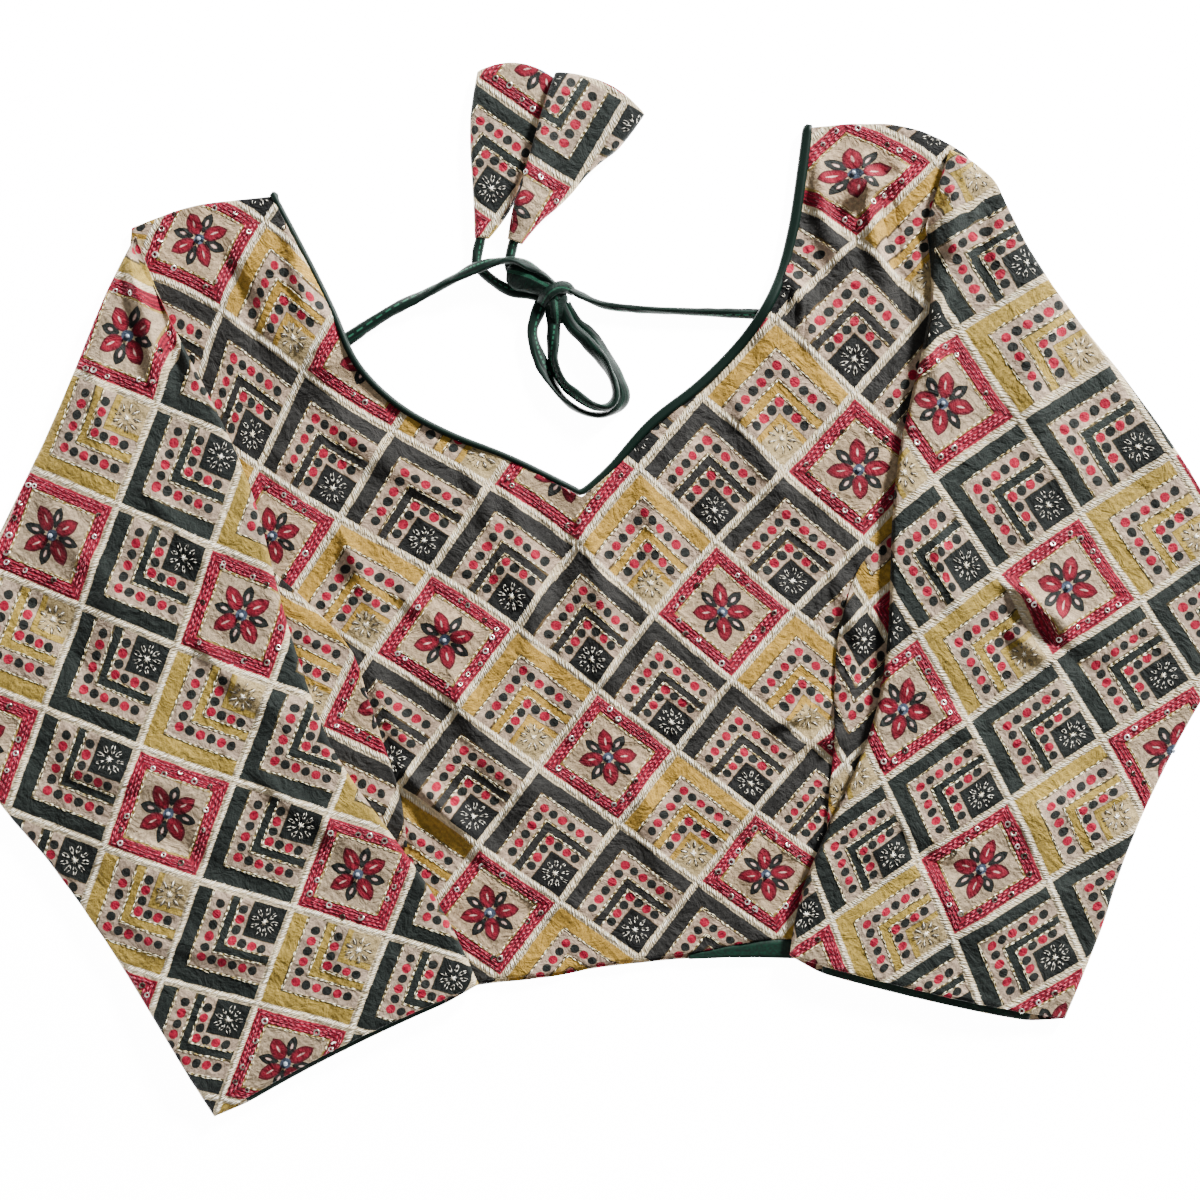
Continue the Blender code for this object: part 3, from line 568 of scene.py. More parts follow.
# The tie. Each strand follows its route in the source: x, y and z of its middle, in millimetres.
satinFolds = {
    "sides": 18, "step": 1.2, "pinch": 0.13, "pinchSize": 5, "spread": 0.3, "flatten": 0.2,
    "spreadSize": 15, "sway": 0.35, "swayRate": 0.21, "lowest": 0.05, "bandSides": 28, "bandStep": 0.8,
}
tie = {
    "leftString": {"node": "left_string", "width": 5.8, "height": 3.4, "twist": 1.6, "route": [
        (-125, 112.5, 3.9), (-119.4, 118.1, 2.9), (-111, 126, 2.15), (-93, 138, 2.15),
        (-76, 146.4, 3.2), (-60, 154.2, 6.3), (-51.8, 158, 6.7), (-44, 160.2, 6.9), (-37, 160.7, 6.9),
        (-31.3, 159.2, 6.8), (-25.5, 155.8, 6.6), (-20.4, 151.6, 6.2), (-17.2, 148.4, 5.2),
    ]},
    "rightString": {"node": "right_string", "width": 4.6, "height": 3.2, "twist": 2.4, "route": [
        (91, 135.8, 3.9), (86.2, 136.8, 2.9), (68, 137.5, 2.15), (45, 138.4, 2.15),
        (20, 139.5, 2.15), (4, 141.5, 2.3), (-5.7, 145.4, 3.2), (-11.4, 148, 4.6), (-15, 148.8, 5.4),
    ]},
    "leftTail": {"node": "left_tail", "width": 4.6, "height": 3.2, "twist": 0.6, "route": [
        (-51, 172.5, 2.2), (-52.8, 165, 2.15), (-52.5, 159, 2.15), (-46, 152.5, 2.15),
        (-38, 148, 2.15), (-28.5, 145.6, 2.6), (-23.5, 144, 3.0),
    ]},
    "rightTail": {"node": "right_tail", "width": 4.6, "height": 3.2, "twist": -0.6, "route": [
        (-35.4, 173.5, 2.2), (-38, 163.6, 2.15), (-37.6, 157.5, 2.15), (-34.8, 153.2, 2.15),
        (-29.5, 150.8, 2.6), (-24, 148.6, 3.6),
    ]},
    "outerLoop": {"node": "outer_loop", "width": 6.4, "height": 2.8, "twist": 3.6, "route": [
        (-23.8, 142.6, 3.0), (-28, 131, 2.15), (-26.5, 122, 2.15), (-22.5, 112.5, 2.15),
        (-15.5, 101, 2.15), (-8, 94.6, 2.15), (1.5, 92, 2.15), (9.5, 94.4, 2.15),
        (13, 100.4, 2.15), (10.8, 108.4, 2.15), (5.2, 118.2, 2.15), (-2, 127.6, 2.15),
        (-8.6, 133.6, 2.2), (-13.6, 141.6, 3.2),
    ]},
    "innerLoop": {"node": "inner_loop", "width": 6.2, "height": 3.2, "twist": -3.0, "route": [
        (-18.4, 142, 3.2), (-18.6, 133, 2.4), (-18.8, 124, 2.4), (-18.4, 115.2, 3.4),
        (-14.4, 106.4, 4.6), (-7.4, 100, 5.2), (0.2, 95.6, 5.4), (6.2, 95.8, 5.4), (9.2, 99.8, 5.4),
        (8.4, 106.6, 5.2), (3.9, 115.6, 5.0), (-3.5, 124.6, 4.6), (-10.8, 132.2, 4.2),
        (-15.4, 141, 3.8),
    ]},
}


def addStrand(bm, route, width, height, step, sides, twist=0.0, flutes=0, fluteDepth=0.0):
    # sweeps an oval section along a route; rows of the route may carry their own width and height
    rows = np.asarray(route, float)
    length = np.linalg.norm(np.diff(rows[:, :3], axis=0), axis=1).sum()
    steps = max(6, int(length / step))
    first = len(bm.verts)
    bmesh.ops.create_grid(bm, x_segments=sides, y_segments=steps, size=0.5, calc_uvs=True)
    bm.verts.ensure_lookup_table()
    verts = bm.verts[first:]
    line = [smoothAlong(rows, k / steps) for k in range(steps + 1)]
    for vert in verts:
        k = round((vert.co.y + 0.5) * steps)
        turn = 2 * math.pi * round((vert.co.x + 0.5) * sides) / sides
        middle = Vector(line[k][:3])
        ahead = Vector(line[min(steps, k + 1)][:3]) - Vector(line[max(0, k - 1)][:3])
        ahead.normalize()
        side = ahead.cross(Vector((0, 0, 1))).normalized()
        up = side.cross(ahead)
        wide = line[k][3] if rows.shape[1] > 3 else width
        high = line[k][4] if rows.shape[1] > 3 else height
        pinchAt = middle / satinFolds["pinchSize"]
        pinch = noise.noise(Vector((pinchAt.x + math.cos(turn), pinchAt.y, math.sin(turn))))
        spreadAt = middle / satinFolds["spreadSize"]
        spread = noise.noise(Vector((spreadAt.x, spreadAt.y, 5)))
        ripple = 1 + fluteDepth * math.cos(flutes * turn) + satinFolds["pinch"] * pinch
        wide *= 1 + satinFolds["spread"] * spread
        high *= 1 - satinFolds["flatten"] * spread
        sway = 0 if flutes else satinFolds["sway"] * math.sin(k * satinFolds["swayRate"])
        roll = twist * k / steps + sway
        x = wide / 2 * math.cos(turn) * ripple
        z = high / 2 * math.sin(turn) * ripple
        offset = side * (x * math.cos(roll) - z * math.sin(roll))
        offset += up * (x * math.sin(roll) + z * math.cos(roll))
        place = middle + offset
        place.z = max(place.z, satinFolds["lowest"])
        vert.co = place * mm
    return length * mm, [Vector(row[:3]) * mm for row in line]


def finishStrands(bm, name):
    # joins each sweep's long seam, caps its ends and turns its faces outwards
    bmesh.ops.remove_doubles(bm, verts=bm.verts, dist=0.004 * mm)
    openEdges = [edge for edge in bm.edges if edge.is_boundary]
    bmesh.ops.holes_fill(bm, edges=openEdges, sides=0)
    bmesh.ops.recalc_face_normals(bm, faces=bm.faces)
    mesh = bpy.data.meshes.new(name)
    bm.to_mesh(mesh)
    bm.free()
    mesh.materials.append(satin)
    mesh.shade_smooth()
    return mesh


def makeStrands():
    made = {}
    for key, strand in tie.items():
        bm = bmesh.new()
        bm.loops.layers.uv.new("wrap")
        length, path = addStrand(bm, strand["route"], strand["width"], strand["height"],
                                 satinFolds["step"], satinFolds["sides"], strand["twist"])
        for face in bm.faces:
            for loop in face.loops:
                uv = loop[bm.loops.layers.uv["wrap"]]
                uv.uv = (uv.uv.x, uv.uv.y * length)
        node = strand["node"]
        piece = finishPiece("satin_" + node, finishStrands(bm, node), [node])
        made[key] = (piece, length, path)
    return made


# The bow's middle: a folded band, the turn of cord that holds it, and the gathered root of the loops.
knot = {
    "bands": [
        {"route": [(-39.2, 155.4, 3.4, 6.0, 4.4), (-36.6, 154.9, 4.0, 9.4, 5.4),
                   (-31.3, 153.4, 4.6, 10.8, 6.2), (-25, 150.6, 4.8, 10.6, 6.4),
                   (-20, 147.2, 4.8, 9.6, 6.4), (-17.2, 143.2, 4.0, 7.0, 5.4)],
         "flutes": 3, "depth": 0.09},
        {"route": [(-9.8, 146.8, 3.4, 3.2, 2.4), (-12.8, 148.6, 6.4, 5.6, 3.2),
                   (-17, 148.4, 7.8, 6.2, 3.2), (-21.3, 145.6, 7.4, 6.0, 3.2),
                   (-23.8, 141.8, 3.8, 5.0, 3.0)],
         "flutes": 2, "depth": 0.05},
        {"route": [(-18.4, 148.4, 4.2, 10.0, 5.6), (-18, 144.4, 4.2, 13.0, 5.6),
                   (-17.5, 139.8, 3.8, 9.0, 5.4), (-17.2, 136, 3.2, 8.0, 4.2),
                   (-17, 133, 2.4, 5.4, 2.4)],
         "flutes": 5, "depth": 0.15},
    ],
    "node": "dori_knot",
}


def makeKnot():
    bm = bmesh.new()
    bm.loops.layers.uv.new("wrap")
    for band in knot["bands"]:
        addStrand(bm, band["route"], 0, 0, satinFolds["bandStep"], satinFolds["bandSides"],
                  flutes=band["flutes"], fluteDepth=band["depth"])
    return finishPiece("satin_knot", finishStrands(bm, "satin_knot"), [knot["node"]])


strands = makeStrands()
knotPiece = makeKnot()
print("tie ready")


# Cloth. Each piece starts from its solid in model.glb, made finer, then creased as listed.
# A crease: from x, y to x, y, its breadth, its height, and how far it wavers aside.
relief = {
    "creaseGain": 1.35, "slowSize": 27, "slowHeight": 1.3, "ridgeSize": 34, "ridgeHeight": 0.55,
    "pullDepth": 0.4, "pullWidth": 2.2,
}
bodyCreases = [
    (-118, 96, -70, 44, 9, 2.1, 2), (-96, 62, -44, 36, 7, -1.4, 2), (-60, 74, -34, 10, 6, 1.6, 2),
    (-36, 66, -26, -30, 8, 2.1, 3), (-14, 50, -22, -66, 6, -1.6, 3), (-4, 44, 8, -30, 7, 1.8, 2),
    (22, 66, 26, -20, 8, 1.6, 3), (48, 86, 42, 20, 8, -1.4, 3), (64, 104, 84, 44, 8, 2.1, 2),
    (84, 160, 100, 116, 6, 1.8, 2), (100, 206, 108, 158, 5, 2.8, 2), (118, 208, 132, 150, 5, 3.2, 2),
    (132, 196, 140, 128, 6, -2.1, 2), (-70, -20, -20, -92, 9, 1.8, 3), (-78, -74, -30, -124, 7, 1.8, 3),
    (-60, -104, -18, -140, 6, -1.1, 2), (10, -60, 40, -126, 8, 1.6, 3), (96, -40, 54, -100, 8, 2.1, 3),
    (98, -66, 70, -126, 6, 1.8, 2), (84, -8, 40, -40, 7, 1.4, 2), (-140, 176, -122, 132, 6, 2.3, 2),
    (-168, 170, -150, 118, 6, -1.8, 2), (-90, 10, -52, -8, 6, 1.4, 2), (92, 40, 60, 8, 7, -1.1, 2),
    (112, 186, 128, 201, 3.2, 2.6, 0), (122, 205, 138, 197, 3, -1.2, 0), (116, 179, 127, 195, 3, -1.2, 0),
    (124, 190, 140, 204, 3, 2.2, 1), (-88, -63, -56, -99, 4, 2.6, 1), (-94, -72, -66, -104, 4, -1.2, 1),
    (79, -49, 106, -36, 4, 2.4, 1), (84, -60, 112, -50, 4, 2.0, 1), (-30, 84, -6, 54, 5, 2.0, 1),
    (12, 84, -4, 52, 5, 1.8, 1), (108, 24, 118, -12, 4, 2.4, 1), (116, -20, 106, -60, 4, 2.2, 1),
    (-112, 40, -96, -4, 5, 2.2, 1), (-104, -16, -84, -58, 5, 2.0, 1), (-132, 200, -146, 116, 20, 3.2, 0),
]
leftSleeveCreases = [
    (-208, 174, -198, 150, 3, -3.0, 0), (-200, 177, -191, 150, 2.4, 3.2, 0),
    (-190, 172, -184, 136, 3.5, 2.4, 1), (-206, 164, -196, 104, 5, 3.0, 2),
    (-194, 150, -188, 100, 4, -2.1, 2),
    (-214, 140, -224, 74, 6, 1.8, 2), (-244, 60, -212, -4, 8, 1.8, 3), (-200, 62, -172, 20, 6, 1.6, 2),
    (-262, 20, -222, -30, 7, -1.4, 3), (-176, -8, -140, -46, 6, 1.8, 2),
    (-244, -60, -170, -84, 8, 1.8, 3), (-210, -96, -140, -120, 7, -1.4, 3),
    (-150, -66, -112, -100, 6, 1.8, 2), (-200, -140, -130, -156, 7, 1.6, 2),
]
rightSleeveCreases = [
    (182, 0, 202, -20, 3, 2.4, 1), (188, 14, 210, -4, 3.5, 2.2, 1), (150, 180, 146, 140, 3, -2, 0),
    (160, 196, 150, 170, 3, 2.2, 1), (172, 186, 158, 164, 3, 2, 1),
    (170, 206, 152, 160, 5, 2.8, 2), (182, 196, 168, 150, 5, -2.1, 2),
    (156, 150, 150, 104, 5, 2.5, 2), (206, 140, 190, 90, 7, 1.8, 2), (238, 96, 206, 56, 7, 1.8, 3),
    (178, 20, 214, -6, 5, 2.5, 2), (186, 4, 224, -22, 4, -1.8, 2), (150, 40, 168, -6, 6, 1.8, 2),
    (262, 20, 226, -20, 7, 1.6, 2), (146, -30, 176, -64, 6, 1.8, 2), (236, -70, 190, -96, 7, 1.6, 3),
    (132, -92, 168, -120, 6, -1.4, 2), (214, -120, 166, -140, 6, 1.6, 2),
]


def ease(share):
    # from 0 to 1 without a corner at either end
    share = np.clip(share, 0, 1)
    return share * share * (3 - 2 * share)


def reliefAt(creases, points, lattice, swell):
    # height added at plan points (mm): the creases, a slow swell, and the pull of the tiles' stitching
    height = np.zeros(len(points))
    for fromX, fromY, toX, toY, breadth, rise, waver in creases:
        start, along = np.array([fromX, fromY]), np.array([toX - fromX, toY - fromY], float)
        length = np.hypot(*along)
        along /= length
        offset = points - start
        t = offset @ along / length
        aside = offset @ np.array([-along[1], along[0]]) + waver * np.sin(5 * t + fromX)
        taper = ease(np.minimum(t + 0.12, 1.12 - t) / 0.35)
        wide = breadth * (0.6 + 0.5 * np.clip(t, 0, 1))
        height += relief["creaseGain"] * rise * taper * np.exp(-(aside / wide) ** 2)
    for index, (x, y) in enumerate(points):
        slowAt = Vector((x / relief["slowSize"], y / relief["slowSize"], 3))
        ridgeAt = Vector((x / relief["ridgeSize"], y / relief["ridgeSize"], 8))
        slow = relief["slowHeight"] * noise.fractal(slowAt, 0.8, 2.1, 3)
        ridges = relief["ridgeHeight"] * noise.ridged_multi_fractal(ridgeAt, 1.0, 2.2, 2, 1.0, 1.6)
        height[index] += swell * (slow + ridges)
    shares = np.mod(lattice.tiles(points), 1.0)
    border = np.minimum(shares, 1 - shares).min(1) * tile["side"]
    return height - relief["pullDepth"] * np.exp(-(border / relief["pullWidth"]) ** 2)


def refine(nodeName, longest, crease=0.8, sharp=50):
    # the node's solid as even quads, with its rims creased for the subdivision that later smooths it
    bm = bmesh.new()
    bm.from_mesh(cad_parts[nodeName].data)
    bmesh.ops.remove_doubles(bm, verts=bm.verts, dist=0.02 * mm)
    bmesh.ops.join_triangles(bm, faces=bm.faces, angle_face_threshold=math.radians(40),
                             angle_shape_threshold=math.radians(70))
    for _ in range(3):
        longEdges = [edge for edge in bm.edges if edge.calc_length() > longest * mm]
        if longEdges:
            bmesh.ops.subdivide_edges(bm, edges=longEdges, cuts=1, use_grid_fill=True)
    layer = bm.edges.layers.float.new("crease_edge")
    for edge in bm.edges:
        if len(edge.link_faces) == 2 and edge.calc_face_angle() > math.radians(sharp):
            edge[layer] = crease
    return bm


def subdivided(bm, levels, name):
    mesh = bpy.data.meshes.new(name)
    bm.to_mesh(mesh)
    bm.free()
    cage = bpy.data.objects.new(name, mesh)
    bpy.context.scene.collection.objects.link(cage)
    smoothing = cage.modifiers.new("smoothing", "SUBSURF")
    smoothing.levels = levels
    smoothing.render_levels = levels
    bpy.context.view_layer.update()
    finished = bpy.data.meshes.new_from_object(cage.evaluated_get(bpy.context.evaluated_depsgraph_get()))
    bpy.data.objects.remove(cage)
    return finished


def markLining(bm, kind):
    # material 1 is the lining: under the front, over the back, and inside a tube
    bm.normal_update()
    tree = BVHTree.FromBMesh(bm)
    for face in bm.faces:
        if kind == "front":
            inside = face.normal.z < -0.3
        elif kind == "back":
            inside = face.normal.z > 0.3
        else:
            start = face.calc_center_median() + face.normal * 0.02 * mm
            inside = tree.ray_cast(start, face.normal, 4 * mm)[0] is not None
        face.material_index = 1 if inside else 0


def readVectors(mesh, kind="co"):
    flat = np.zeros(len(mesh.vertices) * 3)
    mesh.vertices.foreach_get(kind, flat)
    return flat.reshape(-1, 3)


def treeOf(mesh):
    return BVHTree.FromPolygons([v.co for v in mesh.vertices], [p.vertices for p in mesh.polygons])


def unit(rows):
    return rows / np.maximum(np.linalg.norm(rows, axis=1), 1e-9)[:, None]


def topWeights(mesh, points):
    # 1 on a tube's upper layer, falling to 0 at its folds, by the height above the lower side
    tree = treeOf(mesh)
    above = np.zeros(len(points))
    for index, point in enumerate(points):
        start = Vector((point[0], point[1], -5 * mm))
        hit = tree.ray_cast(start, Vector((0, 0, 1)))[0]
        if hit:
            above[index] = (point[2] - hit.z) / mm
    return ease((above - 1.4) / 1.8)


def freeWeights(points):
    # 1 where nothing lies on the cloth, falling to 0 near and under what covers it
    names = ("left_sleeve", "right_sleeve", "neck_piping", "left_string", "right_string")
    covers = [treeOf(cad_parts[name].data) for name in names]
    up = Vector((0, 0, 1))
    places = [Vector((x, y, z - 0.5 * mm)) for x, y, z in points]
    covered = [place for place in places if any(tree.ray_cast(place, up)[0] for tree in covers)]
    if not covered:
        return np.ones(len(points))
    nearest = KDTree(len(covered))
    for index, place in enumerate(covered):
        nearest.insert((place.x, place.y, 0), index)
    nearest.balance()
    away = np.array([nearest.find((place.x, place.y, 0))[2] for place in places]) / mm
    return ease((away - 1) / 7)


def addPrintMap(mesh, lattice):
    # print coordinates for each corner, carried a little past each fold so that the print turns it
    points = readVectors(mesh)[:, :2] / mm + readVectors(mesh, "normal")[:, :2] * 1.5
    tiles = lattice.tiles(points)
    corners = np.zeros(len(mesh.loops), int)
    mesh.loops.foreach_get("vertex_index", corners)
    layer = mesh.uv_layers.new(name="print")
    layer.data.foreach_set("uv", tiles[corners].astype(np.float32).ravel())


# What the printed pieces share: the longest edge of the cage in millimetres, its levels and its swell
panelCloth = {"lattice": "body", "longest": 9, "levels": 2, "swell": 0.95, "print": printedBody}
foldCloth = {**panelCloth, "kind": "front", "creases": bodyCreases}
sleeveCloth = {"kind": "tube", "longest": 10, "levels": 2, "swell": 0.95, "print": printedSleeve}
tasselCloth = {**sleeveCloth, "creases": [], "longest": 6, "swell": 0.35}
cloths = {
    "front": {**foldCloth, "node": "front_panel", "flat": (0.402, 0.42), "area": 0.112},
    "back": {**panelCloth, "node": "back_panel", "kind": "back", "creases": [], "longest": 18,
             "levels": 1, "swell": 0.0, "flat": (0.402, 0.43), "area": 0.116},
    "leftFold": {**foldCloth, "node": "left_underarm_fold", "lattice": "leftFold",
                 "flat": (0.05, 0.127), "area": 0.0038},
    "rightFold": {**foldCloth, "node": "right_underarm_fold", "lattice": "rightFold",
                  "flat": (0.045, 0.137), "area": 0.0037},
    "leftSleeve": {**sleeveCloth, "node": "left_sleeve", "lattice": "leftSleeve",
                   "creases": leftSleeveCreases, "flat": (0.31, 0.43), "area": 0.098},
    "rightSleeve": {**sleeveCloth, "node": "right_sleeve", "lattice": "rightSleeve",
                    "creases": rightSleeveCreases, "flat": (0.31, 0.43), "area": 0.098},
    "leftTassel": {**tasselCloth, "node": "left_tassel", "lattice": "leftTassel",
                   "flat": (0.08, 0.08), "area": 0.0036},
    "rightTassel": {**tasselCloth, "node": "right_tassel", "lattice": "rightTassel",
                    "flat": (0.09, 0.08), "area": 0.0040},
}


def makeCloth(settings):
    bm = refine(settings["node"], settings["longest"])
    markLining(bm, settings["kind"])
    mesh = subdivided(bm, settings["levels"], settings["node"] + "_cloth")
    lattice = lattices[settings["lattice"]]
    points = readVectors(mesh)
    if settings["kind"] != "back":
        lift = reliefAt(settings["creases"], points[:, :2] / mm, lattice, settings["swell"])
        lift *= topWeights(mesh, points) if settings["kind"] == "tube" else freeWeights(points)
        points[:, 2] += lift * mm
        mesh.vertices.foreach_set("co", points.ravel())
        mesh.update()
    addPrintMap(mesh, lattice)
    mesh.materials.clear()
    mesh.materials.append(settings["print"])
    mesh.materials.append(lining)
    mesh.shade_smooth()
    piece = finishPiece(settings["node"] + "_cloth", mesh, [settings["node"]])
    area = sum(p.area for p in mesh.polygons) / 2
    print(piece.name, len(mesh.polygons), "faces, one layer of", round(area, 4), "square metres")
    return piece


clothPieces = {name: makeCloth(settings) for name, settings in cloths.items()}
print("cloth ready")


# Trim: the corded neck edge, and the strips of lining that show at the hem and the cuffs
pipingFit = {
    "middle": (-10, 160), "fuller": 0.7, "slimmer": 1.3, "lapped": 1.1, "wider": 0.9, "lowest": 0.1,
}


def fitPiping(mesh):
    # fuller towards the cloth, and on the left lapped over its edge and slimmer round the opening
    points, normals = readVectors(mesh), readVectors(mesh, "normal")
    outward = unit(points[:, :2] / mm - pipingFit["middle"])
    toCloth = np.clip(1.4 * (normals[:, :2] * outward).sum(1), -1, 1)
    left, right = np.clip(-outward[:, 0] * 1.6, 0, 1), np.clip(outward[:, 0] * 2, 0, 1)
    grow = pipingFit["fuller"] * (0.4 + 0.6 * toCloth) + pipingFit["wider"] * right * np.abs(toCloth)
    grow -= pipingFit["slimmer"] * left * np.maximum(-toCloth, 0)
    grow += pipingFit["lapped"] * left * np.maximum(toCloth, 0)
    points += normals * grow[:, None] * mm
    points[:, 2] = np.maximum(points[:, 2], pipingFit["lowest"] * mm)
    mesh.vertices.foreach_set("co", points.ravel())
    mesh.update()


def makeTrim(nodeName, material, levels, fit=None):
    bm = refine(nodeName, 12)
    mesh = subdivided(bm, levels, nodeName + "_trim")
    if fit:
        fit(mesh)
    mesh.materials.clear()
    mesh.materials.append(material)
    mesh.shade_smooth()
    return finishPiece(nodeName + "_trim", mesh, [nodeName])


piping = makeTrim("neck_piping", satin, 1, fitPiping)
for edgeNode in ("hem_lining", "left_cuff_lining", "right_cuff_lining"):
    makeTrim(edgeNode, lining, 2)
print("trim ready")


# Thread and sequin work, laid on whichever cloth is on top at each place
work = {
    "stripSpacing": 0.95, "stripLean": 0.8, "stripShare": 0.9,
    "stitchWidth": 0.42, "stitchHeight": 0.4, "stitchLift": 0.35, "stitchReach": 1.12,
    "linkLength": 2.6, "linkReach": 1.04, "linkWidth": 0.46, "edgeWidth": 0.36,
    "linkGape": 0.42, "gapeStart": 0.6, "gapeEnd": 1.4, "armEnd": 0.95,
    "loops": 9, "loopInner": 0.06, "loopOuter": 0.14, "loopSpread": 0.17, "loopClose": 0.4,
    "loopWidth": 0.48, "knotStitches": 5, "knotReach": 0.036, "knotWidth": 0.6,
    "unevenness": 0.005, "missing": 0.03, "steepest": 1.6,
    "sequinInset": 0.115, "sequinsASide": 5,
}
def templateStitch():
    bm = bmesh.new()
    bmesh.ops.create_uvsphere(bm, u_segments=4, v_segments=2, radius=0.5)
    bmesh.ops.transform(bm, matrix=Matrix.Rotation(math.pi / 2, 4, "Y"),
                        verts=bm.verts)
    return bm


def templateRing():
    # a stamped ring with a dished top
    bm = bmesh.new()
    outer = bmesh.ops.create_circle(bm, segments=10, radius=1.0)["verts"]
    inner = bmesh.ops.create_circle(bm, segments=10, radius=0.54)["verts"]
    bmesh.ops.translate(bm, verts=inner, vec=(0, 0, 0.5))
    bmesh.ops.bridge_loops(bm, edges=bm.edges)
    top = list(bm.faces)
    below = bmesh.ops.duplicate(bm, geom=top)["geom"]
    belowVerts = [item for item in below if isinstance(item, bmesh.types.BMVert)]
    belowFaces = [item for item in below if isinstance(item, bmesh.types.BMFace)]
    bmesh.ops.translate(bm, verts=belowVerts, vec=(0, 0, -0.4))
    bmesh.ops.reverse_faces(bm, faces=belowFaces)
    bmesh.ops.bridge_loops(bm, edges=[e for e in bm.edges if e.is_boundary])
    bmesh.ops.recalc_face_normals(bm, faces=bm.faces)
    return bm


def templateBead():
    bm = bmesh.new()
    bmesh.ops.create_uvsphere(bm, u_segments=8, v_segments=5, radius=1.0)
    return bm


def templateArrays(bm):
    bmesh.ops.triangulate(bm, faces=bm.faces)
    bm.verts.index_update()
    verts = np.array([vert.co for vert in bm.verts])
    faces = np.array([[vert.index for vert in face.verts] for face in bm.faces])
    bm.free()
    return verts, faces


templates = {
    "stitch": templateArrays(templateStitch()), "ring": templateArrays(templateRing()),
    "bead": templateArrays(templateBead()),
}
threadNumbers = {name: number for number, name in enumerate(threads)}


def tileStitches(kind):
    # stitches of one tile as rows: from p, q to p, q, width, and the number of its thread
    rows = []
    side = tile["side"]

    def strip(end, lean):
        # slanted stitches across the strip from the tile's corner to an end
        spacing, half = work["stripSpacing"] / side, tile["strip"] * work["stripShare"]
        alongP, alongQ = end
        for k in range(int(1 / spacing)):
            p, q = (k + 0.5) * spacing * alongP, (k + 0.5) * spacing * alongQ
            crossP, crossQ = half * (alongP * lean - alongQ), half * (alongQ * lean + alongP)
            rows.append((p - crossP, q - crossQ, p + crossP, q + crossQ, work["stitchWidth"],
                         threadNumbers["cream"]))

    def chain(start, end, thread, width):
        # a row of links, each two stitches that part and meet
        (p0, q0), (p1, q1) = start, end
        length = math.hypot(p1 - p0, q1 - q0)
        alongP, alongQ = (p1 - p0) / length, (q1 - q0) / length
        link, gape = work["linkLength"] / side, work["linkGape"] / side / 2
        reachP, reachQ = alongP * link * work["linkReach"], alongQ * link * work["linkReach"]
        for k in range(int(length / link)):
            p, q = p0 + alongP * k * link, q0 + alongQ * k * link
            for hand in (-gape, gape):
                near, far = hand * work["gapeStart"], hand * work["gapeEnd"]
                rows.append((p - alongQ * near, q + alongP * near, p + reachP - alongQ * far,
                             q + reachQ + alongP * far, width, threadNumbers[thread]))

    def chainFrame(inset, thread, width):
        far = 1 - inset
        corners = [(inset, inset), (far, inset), (far, far), (inset, far), (inset, inset)]
        for start, end in zip(corners, corners[1:]):
            chain(start, end, thread, width)

    def onSquare(reach, turn):
        middle = tile["squareMiddle"]
        return middle + reach * math.cos(turn), middle + reach * math.sin(turn)

    strip((1, 0), work["stripLean"])
    strip((0, 1), -work["stripLean"])
    if kind == "flower":
        for inset in tile["frameRows"]:
            chainFrame(inset, "red", work["linkWidth"])
        chainFrame(tile["frameEdge"], "gold", work["edgeWidth"])
        return np.array(rows)

    for place in tile["chains"]:
        chain((place, place), (work["armEnd"], place), "gold", work["linkWidth"])
        chain((place, place), (place, work["armEnd"]), "gold", work["linkWidth"])
    # a ring of open loops round a small knot of stitches; light stitches fill the olive tile's dark loops
    inner, outer, spread = work["loopInner"], work["loopOuter"], work["loopSpread"]
    loopThread = threadNumbers["taupe" if kind == "olive" else "silver"]
    for loop in range(work["loops"]):
        turn = 2 * math.pi * loop / work["loops"]
        if kind == "olive":
            rows.append((*onSquare(inner, turn), *onSquare(outer, turn), work["loopWidth"],
                         threadNumbers["cream"]))
        for hand in (-spread, spread):
            spots = [onSquare(inner, turn), onSquare((inner + outer) / 2, turn + hand),
                     onSquare(outer, turn + hand * work["loopClose"])]
            for start, end in zip(spots, spots[1:]):
                rows.append((*start, *end, work["loopWidth"], loopThread))
    for cross in range(work["knotStitches"]):
        turn = math.pi * cross / work["knotStitches"]
        rows.append((*onSquare(-work["knotReach"], turn), *onSquare(work["knotReach"], turn),
                     work["knotWidth"], threadNumbers["cream"]))
    return np.array(rows)


def frameSequins():
    # places p, q of the sequins sewn along a flower's frame
    near, far = work["sequinInset"], 1 - work["sequinInset"]
    shares = (np.arange(work["sequinsASide"]) + 0.5) / work["sequinsASide"]
    sides = [[(t, near), (far, t), (1 - t, far), (near, 1 - t)] for t in near + (far - near) * shares]
    return np.array(sides).transpose(1, 0, 2).reshape(-1, 2)


stitchCharts = {kind: tileStitches(kind) for kind in ("flower", "olive", "slate")}
# Sequins and beads stand on the flowers' tiles. Sizes are in millimetres, tilts in radians.
rounds = {
    "sequins": {"template": "ring", "material": sequinFoil, "places": frameSequins(), "radius": 1.35,
                "height": 0.5, "lift": 0.25, "tilt": 0.28, "missing": 0.35, "shift": 0.022,
                "variation": 0.18},
    "beads": {"template": "bead", "material": glassBead, "places": np.array([(0.5, 0.5)]),
              "radius": 1.15, "height": 0.75, "lift": 0.6325, "tilt": 0.02},
}

workedCloths = [name for name in cloths if name != "back"]


